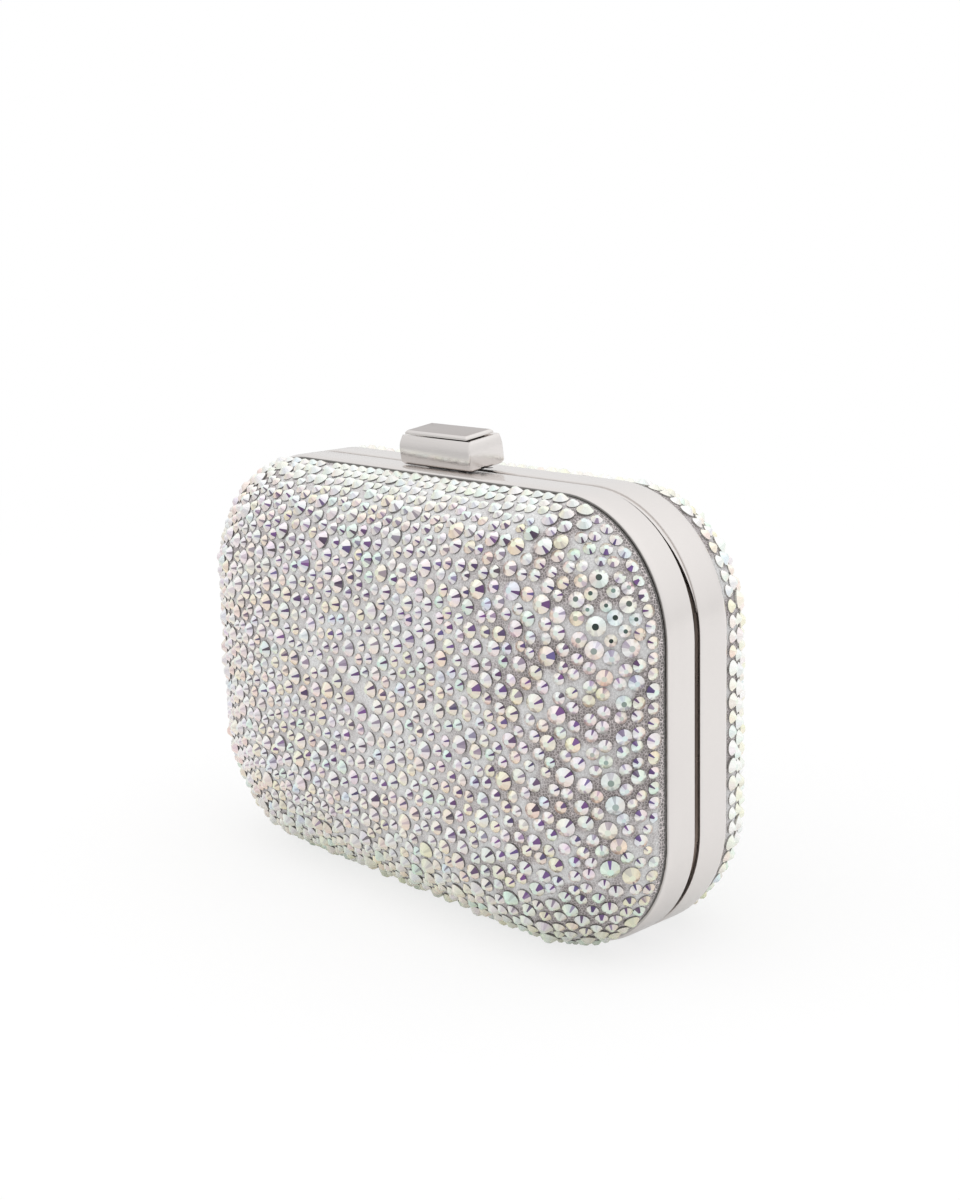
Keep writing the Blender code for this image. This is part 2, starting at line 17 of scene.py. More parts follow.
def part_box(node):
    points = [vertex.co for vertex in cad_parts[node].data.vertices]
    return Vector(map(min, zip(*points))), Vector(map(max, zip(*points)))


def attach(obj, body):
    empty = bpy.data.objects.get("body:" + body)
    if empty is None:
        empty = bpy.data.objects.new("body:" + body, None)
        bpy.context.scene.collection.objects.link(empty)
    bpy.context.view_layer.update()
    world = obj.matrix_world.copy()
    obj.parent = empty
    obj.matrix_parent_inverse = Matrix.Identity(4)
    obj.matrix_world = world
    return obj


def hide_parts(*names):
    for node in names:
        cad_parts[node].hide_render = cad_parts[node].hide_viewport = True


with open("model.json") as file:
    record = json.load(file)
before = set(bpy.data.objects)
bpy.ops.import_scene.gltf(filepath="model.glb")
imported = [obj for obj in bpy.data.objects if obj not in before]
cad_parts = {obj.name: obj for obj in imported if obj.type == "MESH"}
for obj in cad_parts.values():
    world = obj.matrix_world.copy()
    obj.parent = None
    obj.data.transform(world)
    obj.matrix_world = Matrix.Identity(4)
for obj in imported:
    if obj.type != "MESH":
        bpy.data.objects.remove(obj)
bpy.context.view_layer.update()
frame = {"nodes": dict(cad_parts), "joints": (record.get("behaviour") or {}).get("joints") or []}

bl_info = {
    "name": "Crystal box clutch",
    "version": (1, 0, 0),
    "blender": (4, 5, 0),
    "location": "View3D > Sidebar > Clutch",
    "description": "Models and finishes every piece of a crystal-set box clutch",
    "category": "Add Mesh",
}

FRONT = -1
REAR = 1
SIDES = ((FRONT, "front"), (REAR, "rear"))


def box_of(node):
    """Return a CAD node's corners in metres."""
    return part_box(node)


def joint_place(name):
    """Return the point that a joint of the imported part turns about."""
    return Vector(next(joint["pos_m"] for joint in frame["joints"] if joint["name"] == name))


OUTLINE_LOW, OUTLINE_HIGH = box_of("front_frame_band")
MID_HEIGHT = (OUTLINE_LOW.z + OUTLINE_HIGH.z) / 2
BAND_EDGES = {FRONT: box_of("front_frame_band")[0].y, REAR: box_of("rear_frame_band")[1].y}
BAND_SEAMS = {FRONT: box_of("front_frame_band")[1].y, REAR: box_of("rear_frame_band")[0].y}
SEAM_Y = (BAND_SEAMS[FRONT] + BAND_SEAMS[REAR]) / 2


def size(name, description, default):
    """Return a property that holds a length."""
    return FloatProperty(name=name, description=description, default=default, unit="LENGTH", precision=5)


def share(name, description, default):
    """Return a property that holds a share of something."""
    return FloatProperty(name=name, description=description, default=default, subtype="FACTOR", precision=3)


def turn(name, description, degrees):
    """Return a property that holds an angle."""
    return FloatProperty(name=name, description=description, default=math.radians(degrees), subtype="ANGLE")


def colour(name, description, default):
    """Return a property that holds a colour."""
    return FloatVectorProperty(name=name, description=description, default=default, subtype="COLOR",
                               size=3, min=0, max=1)


def amount(name, description, default):
    """Return a property that holds a plain number."""
    return FloatProperty(name=name, description=description, default=default)


def count(name, description, default):
    """Return a property that holds a whole number."""
    return IntProperty(name=name, description=description, default=default, min=1)


class ClutchFrameSizes(bpy.types.PropertyGroup):
    """Sizes of the two metal bands and the lip between them."""
    corner_radius: size("Corner radius", "Radius of the frame's four corners", 0.0336)
    corner_steps: count("Corner steps", "Faces in each rounded corner", 24)
    wall: size("Band wall", "Thickness of the metal bands", 0.0018)
    edge_reach: size("Edge rounding", "How far a band's edge by the shell rounds in", 0.0011)
    edge_width: size("Edge rounding width", "Width of band that this rounding takes", 0.0022)
    seam_reach: size("Seam rounding", "Rounding of a band's edge by the seam", 0.0004)
    rounding_steps: count("Rounding steps", "Faces across each rounded edge", 6)
    fit_gap: size("Fit gap", "Clearance between neighbouring pieces", 0.0003)
    lip_thickness: size("Lip thickness", "Thickness of the lip inside the seam", 0.0008)
    bead_sink: size("Bead sink", "How far the lip's bead lies under the bands' surface", 0.00045)
    bead_depth: size("Bead depth", "Depth of the bead that fills the upper seam", 0.0020)
    bead_front: size("Bead front", "Reach of the bead towards the front from the seam's middle", 0.0003)
    bead_rear: size("Bead rear", "Reach of the bead towards the rear", 0.00098)
    bead_rounding: size("Bead rounding", "Radius of the bead's edges", 0.0004)
    bead_foot: size("Bead foot", "Height at which the bead tapers to nothing", 0.0880)
    bead_slant: share("Bead slant", "Breadth for each metre of height over which the bead tapers", 0.075)
    relief_half_width: size("Hinge relief", "Half the width cut from the bottom for the hinge", 0.0023)
    relief_height: size("Hinge relief height", "Height of that cut", 0.0023)
    rivet_hole_radius: size("Rivet hole radius", "Radius of the holes for the rivets", 0.0010)
    cut_overrun: size("Cut overrun", "How far a cutter reaches past what it cuts", 0.002)
    tooth_slot_length: size("Tooth slot length", "Length of the slot for the clasp's tooth", 0.0110)
    tooth_slot_depth: size("Tooth slot depth", "Depth of that slot across the band", 0.0022)
    tooth_slot_setback: size("Tooth slot setback", "Distance of that slot from the seam's edge", 0.0015)
    ear_slot_depth: size("Ear slot depth", "Depth across the band of the bracket ears' slots", 0.0028)
    ear_slot_width: size("Ear slot width", "Width of each ear's slot", 0.0022)
    ear_spacing: size("Ear spacing", "Distance between the bracket's ears", 0.0090)


class ClutchShellSizes(bpy.types.PropertyGroup):
    """Sizes of the pillow shells, which are built in three layers."""
    inset: size("Cover inset", "How far the cover's rim sits inside the band's edge", 0.0012)
    rise: size("Cover rise", "How far the cover stands out from the band", 0.0249)
    cover: size("Cover thickness", "Thickness of the knitted cover", 0.0008)
    core: size("Core thickness", "Thickness of the moulded shell", 0.0016)
    lining: size("Lining thickness", "Thickness of the padded lining", 0.0010)
    hem: size("Hem", "How far the cover's edge turns towards the band", 0.0002)
    skirt: size("Skirt", "How far core and lining tuck into the band", 0.0024)
    outline_power: amount("Outline power", "Flatness of the pillow's middle", 4.57)
    rise_power: amount("Rise power", "Fullness of the pillow's rim", 1.70)
    steps: count("Profile steps", "Faces from rim to middle", 36)
    crowding: amount("Crowding", "How much closer the rings lie at the rim", 1.6)


class ClutchCrystalSizes(bpy.types.PropertyGroup):
    """Sizes, numbers and seats of the faceted crystals."""
    small: size("Small crystal", "Diameter of the small crystals", 0.00322)
    medium: size("Medium crystal", "Diameter of the medium crystals", 0.00405)
    large: size("Large crystal", "Diameter of the large crystals", 0.00475)
    front_medium: share("Front mediums", "Share of medium crystals between the front's large ones", 0.24)
    rear_medium: share("Rear mediums", "Share of medium crystals between the rear's large ones", 0.55)
    front_count: count("Front crystals", "Crystals on the front shell", 1470)
    rear_count: count("Rear crystals", "Crystals on the rear shell", 1150)
    gap: size("Crystal gap", "Room that neighbouring crystals push for", 0.00085)
    gap_drift: share("Gap drift", "How much wider the gaps are at the right end than in the middle", 0.45)
    rim_gap: size("Rim gap", "Gap between crystals of the row along the rim", 0.00045)
    front_margin: size("Front margin", "Bare knit between band and first row at the front's ends", 0.0017)
    rear_margin: size("Rear margin", "Bare knit between band and first row at the rear's ends", 0.0007)
    long_margin: size("Long margin", "Bare knit between band and first row above and below", 0.0015)
    # Crystals that face the flash within these angles are painted plainly green, as a painted reflection
    facing_near: turn("Facing near", "Angle from the flash within which a crystal is plainly green", 7)
    facing_far: turn("Facing far", "Angle from the flash beyond which a crystal shows all its tints", 17)
    facets: count("Facets", "Facets round each crystal", 14)
    slope: turn("Facet slope", "Steepness of the facets", 42)
    tip_share: share("Tip share", "Flat tip's share of the diameter", 0.34)
    girdle_share: share("Girdle share", "Height of the upright girdle, as a share of the radius", 0.24)
    tilt: turn("Tilt", "How far crystals may sit askew", 4)
    sink: size("Sink", "How deep a crystal sits in the knit", 0.00012)
    rounds: count("Settling rounds", "Rounds in which the crystals push each other apart", 160)
    seed: count("Seed", "Seed of the crystals' scatter", 7)
    # The flash's way and reaches place the painted dark reflections on facets and flat tips
    flash_turn: turn("Flash heading", "Compass turn of the direction that shows the violet flash", 45.5)
    flash_rise: turn("Flash rise", "Rise of that direction above the floor", 15)
    flash_reach: turn("Flash reach", "Widest angle from it at which a facet flashes", 24)
    tip_reach: turn("Tip reach", "Widest angle from it at which a flat tip turns dark", 19)


class ClutchClaspSizes(bpy.types.PropertyGroup):
    """Sizes of the rocking clasp, measured from its pivot before it leans."""
    lean: turn("Lean", "How far the clasp leans forward", 7)
    setback: size("Pivot setback", "Distance of the pivot behind the block's middle", 0.00185)
    length: size("Block length", "Length of the block", 0.0284)
    depth: size("Block depth", "Depth of the block", 0.0124)
    side_low: size("Side low", "Height at which the block's upright side starts", -0.0004)
    side_high: size("Side high", "Height at which the block's upright side ends", 0.0042)
    top: size("Block top", "Height of the block's top", 0.0066)
    underside: size("Underside", "Depth of the block's underside below the pivot", 0.0012)
    low_bevel: size("Low bevel", "Inset of the block's underside", 0.0006)
    high_bevel: size("High bevel", "Inset of the block's top at the front", 0.0013)
    end_bevel: size("End bevel", "The same at the block's rear and two ends", 0.0004)
    end_rounding: size("End rounding", "Radius of the block's upper end edges", 0.0008)
    upright_rounding: size("Upright rounding", "Radius of the block's upright edges", 0.0007)
    shoulder: size("Shoulder", "Rounding between the block's sides and its top slopes", 0.0011)
    soft_edge: size("Soft edge", "Radius of every other polished edge", 0.00028)
    wall: size("Block wall", "Thickness of the block's sides", 0.0007)
    roof: size("Roof", "Height of the hollow under the block", 0.0035)
    plate_length: size("Plate length", "Length of the bare top plate", 0.0244)
    plate_depth: size("Plate depth", "Depth of the top plate", 0.0098)
    plate_thickness: size("Plate thickness", "Thickness of the top plate", 0.0010)
    plate_bevel: size("Plate bevel", "Bevel of the top plate's upper edge", 0.0005)


class ClutchColours(bpy.types.PropertyGroup):
    """Colours of the metal, the knit, the board, the lining and the crystals, and of the shade and
    reflections painted on them.
    """
    nickel: colour("Nickel", "Polished nickel of the frame and the clasp", (0.80, 0.765, 0.745))
    plate: colour("Plate", "Satin nickel of the clasp's top plate", (0.49, 0.45, 0.435))
    steel: colour("Steel", "Plated steel of the hinge and the fasteners", (0.62, 0.62, 0.63))
    # The lip colour is painted shade: the darkness of the deep seam, laid on polished nickel
    lip: colour("Lip", "Tarnished lip deep in the seam", (0.21, 0.18, 0.16))
    thread: colour("Thread", "Thread of the knitted cover", (0.745, 0.755, 0.755))
    warm_thread: colour("Warm thread", "Thread that shows between bare eyelets", (0.66, 0.60, 0.60))
    eyelet: colour("Eyelet", "Holes of the knitted cover", (0.17, 0.15, 0.145))
    # The margin colour is painted shade: the dark gap where the knit meets the band
    margin: colour("Margin", "Knit in the dark gap by the band", (0.07, 0.068, 0.062))
    board: colour("Board", "Moulded shell", (0.30, 0.30, 0.30))
    satin: colour("Satin", "Lining", (0.12, 0.12, 0.13))
    pearl: colour("Pearl", "Plain crystal", (0.96, 0.95, 0.95))
    mint: colour("Mint", "Crystal that turns green", (0.86, 0.96, 0.91))
    sky: colour("Sky", "Crystal that turns blue", (0.86, 0.91, 0.98))
    cream: colour("Cream", "Crystal that turns yellow", (0.98, 0.93, 0.80))
    peach: colour("Peach", "Crystal that turns orange", (0.98, 0.87, 0.80))
    rose: colour("Rose", "Crystal that turns pink", (0.96, 0.88, 0.93))
    # The flashes are painted dark reflections
    violet: colour("Violet", "Flash of a facet that faces the light's dark side", (0.19, 0.075, 0.26))
    indigo: colour("Indigo", "Bluer flash", (0.13, 0.11, 0.30))
    smoke: colour("Smoke", "Greyer flash", (0.10, 0.075, 0.095))
    # The far facets' casts are partly the coat's colour and partly painted reflection
    front_away: colour("Front far facets", "Cast of a front crystal's far facets", (1.0, 0.90, 0.86))
    rear_away: colour("Rear far facets", "Cast of a rear crystal's far facets", (0.98, 1.0, 0.99))
    # Crystals that face the floor are painted towards this colour: painted shade and floor reflection
    floor_facing_shade: colour("Low cast", "Cast of the crystals that face the floor", (0.75, 0.81, 0.70))
    # The girdles' colours are painted shade, darker on the front
    front_girdle: colour("Front girdle", "Shaded girdle of a front crystal", (0.27, 0.26, 0.265))
    rear_girdle: colour("Rear girdle", "Girdle of a rear crystal", (0.50, 0.49, 0.48))
    # The tips' flashes are painted dark reflections
    tip: colour("Tip", "Flash of a flat tip", (0.02, 0.04, 0.035))
    pale_tip: colour("Pale tip", "Paler flash of a flat tip", (0.20, 0.29, 0.27))


class ClutchStageSizes(bpy.types.PropertyGroup):
    """Camera, floor and lamps."""
    camera_place: FloatVectorProperty(name="Camera place", description="Where the camera stands",
                                      default=(0.33261, -0.29072, 0.17864), size=3, unit="LENGTH")
    camera_turn: turn("Camera heading", "Compass turn of the camera round the clutch", 48.088)
    camera_rise: turn("Camera rise", "Angle at which the camera looks down", 12.8)
    camera_roll: turn("Camera roll", "Tilt of the camera about its view", 1.707)
    lens: amount("Lens", "Focal length in millimetres", 50.19)
    floor_half: size("Floor half size", "Half the side of the floor", 4.0)
    shade_start: size("Shade start", "Distance at which the floor starts to turn plain white", 0.25)
    shade_end: size("Shade end", "Distance at which the floor is plain white", 0.8)
    near_plain: share("Near plain", "How much of the floor's white is plain next to the clutch", 0.76)
    floor: colour("Floor", "Colour of the floor", (0.93, 0.93, 0.93))
    ambient: amount("Ambient", "Level of the soft light from all round", 0.76)
    mirrored: amount("Mirrored", "Level of the surround that metal shows", 0.86)
    mirrored_lean: amount("Mirrored lean", "How much brighter metal shows the room's rear right", 0.10)
    mirrored_above: amount("Mirrored above", "Level of the surround that metal shows straight overhead", 1.12)
    key_power: amount("Key lamp", "Power of the lamp at the left", 5.0)
    top_power: amount("Top lamp", "Power of the lamp overhead", 7.5)


SIZE_GROUPS = {
    "clutch_frame": ClutchFrameSizes,
    "clutch_shell": ClutchShellSizes,
    "clutch_crystals": ClutchCrystalSizes,
    "clutch_clasp": ClutchClaspSizes,
    "clutch_colours": ClutchColours,
    "clutch_stage": ClutchStageSizes,
}


# Modelling by hand: each helper does what a modeller does in the 3D view
SQUARE_ON = 0.99  # cosine over which a face or an edge counts as lying along an axis
HOLE_FACES = 24


def take(piece):
    """Select just this piece and make it the active one."""
    bpy.ops.object.select_all(action="DESELECT")
    piece.select_set(True)
    bpy.context.view_layer.objects.active = piece


@contextmanager
def editing(piece):
    """Open a piece in edit mode with nothing selected, and leave edit mode at the end."""
    take(piece)
    bpy.ops.object.mode_set(mode="EDIT")
    bpy.ops.mesh.select_all(action="DESELECT")
    yield
    bpy.ops.object.mode_set(mode="OBJECT")


def pick_faces(piece, test):
    """In edit mode, select just the faces whose normal passes a test."""
    bpy.ops.mesh.select_mode(type="FACE")
    bpy.ops.mesh.select_all(action="DESELECT")
    shape = bmesh.from_edit_mesh(piece.data)
    for face in shape.faces:
        face.select_set(bool(test(face.normal)))
    bmesh.update_edit_mesh(piece.data)


def pick_edges(piece, test):
    """In edit mode, select just the edges that pass a test."""
    bpy.ops.mesh.select_mode(type="EDGE")
    bpy.ops.mesh.select_all(action="DESELECT")
    shape = bmesh.from_edit_mesh(piece.data)
    for edge in shape.edges:
        edge.select_set(bool(test(edge)))
    bmesh.update_edit_mesh(piece.data)


def looks_along(axis, way):
    """Return a test for faces that look along 'x', 'y' or 'z', forwards (1) or backwards (-1)."""
    def test(normal):
        return getattr(normal, axis) * way > SQUARE_ON
    return test


def runs_along(axis):
    """Return a test for edges that run along 'x', 'y' or 'z'."""
    def test(edge):
        along = (edge.verts[0].co - edge.verts[1].co).normalized()
        return abs(getattr(along, axis)) > SQUARE_ON
    return test


def face_outwards():
    """In edit mode, turn every face outwards."""
    bpy.ops.mesh.select_all(action="SELECT")
    bpy.ops.mesh.normals_make_consistent(inside=False)


def round_picked(radius, steps):
    """In edit mode, round the selected edges."""
    bpy.ops.mesh.bevel(offset_type="OFFSET", offset=radius, segments=steps, profile=0.5, affect="EDGES",
                       clamp_overlap=False)


def open_end(wall):
    """In edit mode, open the selected end face to a wall of this thickness."""
    bpy.ops.mesh.inset(thickness=wall, depth=0)
    bpy.ops.mesh.delete(type="ONLY_FACE")


def join_openings(piece):
    """In edit mode, join the two open ends of a block into one hollow."""
    pick_edges(piece, lambda edge: len(edge.link_faces) == 1)
    bpy.ops.mesh.bridge_edge_loops()
    face_outwards()


def cut_by_plane(point, out):
    """In edit mode, cut a piece by a plane, and keep and close the part that its direction points to."""
    bpy.ops.mesh.select_all(action="SELECT")
    bpy.ops.mesh.bisect(plane_co=point, plane_no=out, use_fill=True, clear_inner=True)


def apply_place(piece):
    """Move a piece's place, turn and size into its mesh."""
    take(piece)
    bpy.ops.object.transform_apply(location=True, rotation=True, scale=True)


def box_piece(name, low, high):
    """Add a box between two corners, with its place in its mesh."""
    low, high = Vector(low), Vector(high)
    bpy.ops.object.select_all(action="DESELECT")
    bpy.ops.mesh.primitive_cube_add(size=1, location=(low + high) / 2)
    piece = bpy.context.object
    piece.scale = high - low
    piece.name = piece.data.name = name
    apply_place(piece)
    return piece


def apply_modifier(piece, kind, **settings):
    """Add a modifier with its settings and apply it."""
    take(piece)
    modifier = piece.modifiers.new(kind.lower(), kind)
    for key, value in settings.items():
        setattr(modifier, key, value)
    bpy.ops.object.modifier_apply(modifier=modifier.name)


def round_edges(piece, radius, steps, degrees):
    """Round every edge of a piece that is sharper than an angle."""
    apply_modifier(piece, "BEVEL", width=radius, segments=steps, limit_method="ANGLE",
                   angle_limit=math.radians(degrees), harden_normals=False)


def take_out(piece, cutter):
    """Cut a cutter's shape out of a piece and throw the cutter away."""
    apply_modifier(piece, "BOOLEAN", operation="DIFFERENCE", solver="EXACT", object=cutter)
    bpy.data.objects.remove(cutter, do_unlink=True)


def cut_away(piece, low, high):
    """Cut the box between two corners out of a piece."""
    take_out(piece, box_piece(piece.name + "_cutter", low, high))


def drill(piece, centre, radius, length):
    """Drill a hole that runs along Z out of a piece."""
    bpy.ops.object.select_all(action="DESELECT")
    bpy.ops.mesh.primitive_cylinder_add(vertices=HOLE_FACES, radius=radius, depth=length, location=centre)
    take_out(piece, bpy.context.object)


def clean_up(piece, reach=0.00002):
    """Merge points that lie close together, which takes out the slivers that cuts and bevels leave."""
    with editing(piece):
        bpy.ops.mesh.select_all(action="SELECT")
        bpy.ops.mesh.remove_doubles(threshold=reach)
        bpy.ops.mesh.dissolve_degenerate(threshold=reach)


def smooth(piece, degrees=30):
    """Shade a piece smooth, with edges sharper than an angle kept crisp."""
    take(piece)
    bpy.ops.object.shade_smooth_by_angle(angle=math.radians(degrees))


def dress(piece, body, slot, finish, *nodes):
    """Give a piece its finish and body, and hide the CAD nodes that it stands for. The slot is not used."""
    piece.data.materials.clear()
    piece.data.materials.append(finish)
    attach(piece, body)
    if nodes:
        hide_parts(*nodes)


def direction(heading, rise):
    """Return the way that lies at a compass turn from the front and at a rise above the floor."""
    return math.sin(heading) * math.cos(rise), -math.cos(heading) * math.cos(rise), math.sin(rise)


def shaded(colour_value, level=1.0):
    """Return a colour, darkened or lightened."""
    return tuple(channel * level for channel in colour_value)


# Shader maths
class Wire:
    """A node's output, on which plain arithmetic adds Math nodes."""

    def __init__(self, finish, socket):
        self.finish = finish
        self.socket = socket

    def __add__(self, other):
        return self.finish.maths("ADD", self, other)

    def __sub__(self, other):
        return self.finish.maths("SUBTRACT", self, other)

    def __rsub__(self, other):
        return self.finish.maths("SUBTRACT", other, self)

    def __mul__(self, other):
        return self.finish.maths("MULTIPLY", self, other)

    def __truediv__(self, other):
        return self.finish.maths("DIVIDE", self, other)

    __radd__ = __add__
    __rmul__ = __mul__


MIX_FACTOR, MIX_FIRST, MIX_SECOND, MIX_RESULT = 0, 6, 7, 2  # the Mix node's sockets for colours


class Finish:
    """A material's or the world's node tree, built from nothing."""

    def __init__(self, name, owner=None):
        self.owner = owner or bpy.data.materials.new(name)
        self.owner.use_nodes = True
        self.tree = self.owner.node_tree
        self.tree.nodes.clear()

    def node(self, kind, settings=None, sockets=None, output=0):
        """Add a node, make its settings, then fill its sockets, and return one of its outputs."""
        made = self.tree.nodes.new(kind)
        for key, value in (settings or {}).items():
            if key == "stops":
                self.set_stops(made.color_ramp, value)
            else:
                setattr(made, key, value)
        for key, value in (sockets or {}).items():
            if isinstance(value, Wire):
                self.tree.links.new(value.socket, made.inputs[key])
            else:
                made.inputs[key].default_value = value
        return Wire(self, made.outputs[output]) if made.outputs else made

    @staticmethod
    def set_stops(ramp, stops):
        """Set a colour ramp's places and colours."""
        while len(ramp.elements) < len(stops):
            ramp.elements.new(1.0)
        for element, (place, shade) in zip(ramp.elements, stops):
            element.position = place
            element.color = (*shade, 1.0)

    def maths(self, operation, *values):
        """Add a Math node with this operation."""
        return self.node("ShaderNodeMath", {"operation": operation}, dict(enumerate(values)))

    def coordinate(self, vector, axis):
        """Return a vector's 'X', 'Y' or 'Z'."""
        return self.node("ShaderNodeSeparateXYZ", {}, {"Vector": vector}, output=axis)

    def carry(self, value, start, end, at_start=0.0, at_end=1.0, easing="SMOOTHSTEP"):
        """Turn a value that runs from start to end into one that runs between two others."""
        return self.node("ShaderNodeMapRange", {"interpolation_type": easing},
                         {"Value": value, "From Min": start, "From Max": end,
                          "To Min": at_start, "To Max": at_end})

    def diagonal(self, vector):
        """Return how far a vector reaches towards the rear right."""
        return self.node("ShaderNodeVectorMath", {"operation": "DOT_PRODUCT"}, {0: vector, 1: REAR_RIGHT},
                         output="Value")

    def rays(self, *names):
        """Return outputs of the Light Path node."""
        path = self.node("ShaderNodeLightPath").socket.node
        return [Wire(self, path.outputs[name]) for name in names]

    def place(self, stretch=(1, 1, 1)):
        """Return the piece's own coordinates in metres, stretched."""
        raw = self.node("ShaderNodeTexCoord", output="Object")
        return self.node("ShaderNodeMapping", {}, {"Vector": raw, "Scale": stretch})

    def noise(self, place, scale, detail=3.0, roughness=0.5):
        """Return a noise value over the given coordinates."""
        return self.node("ShaderNodeTexNoise", {}, {"Vector": place, "Scale": scale, "Detail": detail,
                                                    "Roughness": roughness})

    def blend(self, factor, first, second, kind="MIX"):
        """Mix two colours."""
        first, second = (shade if isinstance(shade, Wire) else (*shade, 1.0) for shade in (first, second))
        return self.node("ShaderNodeMix", {"data_type": "RGBA", "blend_type": kind},
                         {MIX_FACTOR: factor, MIX_FIRST: first, MIX_SECOND: second}, output=MIX_RESULT)

    def bump(self, height, strength, distance=0.0002):
        """Return a normal that a height value has bumped."""
        return self.node("ShaderNodeBump", {}, {"Height": height, "Strength": strength, "Distance": distance})

    def ending(self, sockets):
        """Finish the material with a Principled shader and return the material."""
        shader = self.node("ShaderNodeBsdfPrincipled", {}, sockets)
        self.node("ShaderNodeOutputMaterial", {}, {"Surface": shader})
        return self.owner


REAR_RIGHT = (0.707, 0.707, 0)
WHITE = (1, 1, 1, 1)
DRAWN_LINES = (1, 28, 28)
BRUSHED_LINES = (1, 30, 30)
WORN_LEVEL = 0.90
# Painted shade along a band's edge by the knit, where the gap is dark: where it lies and how it grows with
# height
PAINTED_EDGE_SHADE_START, PAINTED_EDGE_SHADE_END = -0.00029, -0.00008  # distance past a band's edge
PAINTED_EDGE_SHADE_LOW, PAINTED_EDGE_SHADE_HIGH = 0.02, 0.10  # heights between which that dark line grows stronger


def nickel_finish(name, bright, roughness, edge_shade=None):
    """Polished nickel: faint drawn lines along X, cloudy wear, fine haze and, if asked, a line of painted
    shade by the knit.
    """
    finish = Finish(name)
    place = finish.place()
    drawn = finish.noise(finish.place(DRAWN_LINES), scale=60.0, detail=4.0, roughness=0.6)
    cloud = finish.noise(place, scale=55.0)
    fine = finish.noise(place, scale=900.0, detail=2.0)
    tone = finish.blend(drawn * 0.55 + cloud * 0.45, shaded(bright, WORN_LEVEL), shaded(bright))
    # Painted shade on the band's edge by the knit, stronger higher up
    if edge_shade:
        along_y = finish.coordinate(place, "Y")
        past_edge = finish.maths("MAXIMUM", along_y - BAND_EDGES[REAR], BAND_EDGES[FRONT] - along_y)
        shade_by_knit = finish.carry(past_edge, PAINTED_EDGE_SHADE_START, PAINTED_EDGE_SHADE_END)
        height = finish.coordinate(place, "Z")
        up_high = finish.carry(height, PAINTED_EDGE_SHADE_LOW, PAINTED_EDGE_SHADE_HIGH, at_start=0.35, at_end=0.8)
        tone = finish.blend(shade_by_knit * up_high, tone, shaded(edge_shade))
    return finish.ending({
        "Base Color": tone,
        "Metallic": 1.0,
        "Roughness": roughness + cloud * 0.10 + fine * 0.04,
        "Normal": finish.bump(drawn * 0.6 + fine * 0.4, strength=0.10),
    })


# Within these distances the lip takes the painted shade of the seam; beyond them it is bare nickel
SEAM_DARK_TO, SEAM_BRIGHT_FROM = 0.0011, 0.0014  # distances from the seam's middle
# Share of the frame's height, and how bright the lip's painted seam shade is there
LIP_SHADE_LEVELS = ((0.15, 2.1), (0.40, 1.15), (0.55, 1.0), (0.72, 1.0), (0.82, 0.35))


def lip_finish(colours):
    """Polished lip with a dark line of painted shade where it shows in the seam, darkest by the upper
    corners.
    """
    finish = Finish("shaded_lip")
    place = finish.place()
    cloud = finish.noise(place, scale=160.0)
    off_seam = finish.maths("ABSOLUTE", finish.coordinate(place, "Y") - SEAM_Y)
    in_seam = finish.carry(off_seam, SEAM_DARK_TO, SEAM_BRIGHT_FROM, at_start=1.0, at_end=0.0)
    stops = [(height_share, shaded(colours.lip, level)) for height_share, level in LIP_SHADE_LEVELS]
    height = finish.coordinate(place, "Z") / OUTLINE_HIGH.z
    shade = finish.node("ShaderNodeValToRGB", {"stops": stops}, {"Fac": height}, output="Color")
    return finish.ending({
        "Base Color": finish.blend(in_seam, shaded(colours.nickel), shade),
        "Metallic": 1.0,
        "Roughness": 0.22 + cloud * 0.15,
        "Normal": finish.bump(cloud, strength=0.1),
    })


def steel_finish(name, bright):
    """Plated steel: brushed along X, duller than the frame."""
    finish = Finish(name)
    drawn = finish.noise(finish.place(BRUSHED_LINES), scale=120.0, detail=4.0, roughness=0.6)
    cloud = finish.noise(finish.place(), scale=160.0)
    return finish.ending({
        "Base Color": finish.blend(cloud, shaded(bright, level=0.80), shaded(bright)),
        "Metallic": 1.0,
        "Roughness": 0.24 + drawn * 0.18,
        "Normal": finish.bump(drawn, strength=0.2),
    })


OPEN_NET_TO, CLOSE_NET_FROM = 0.0122, 0.0140  # distances in front of the middle, towards the front
# Within the next distances the knit takes the painted shade of the gap by the band
GAP_DARK_TO, GAP_PALE_FROM = 0.0112, 0.0117  # the same for the dark gap by the band
BARE_FROM, BARE_TO = 0.030, 0.064  # distances from the middle, towards the ends


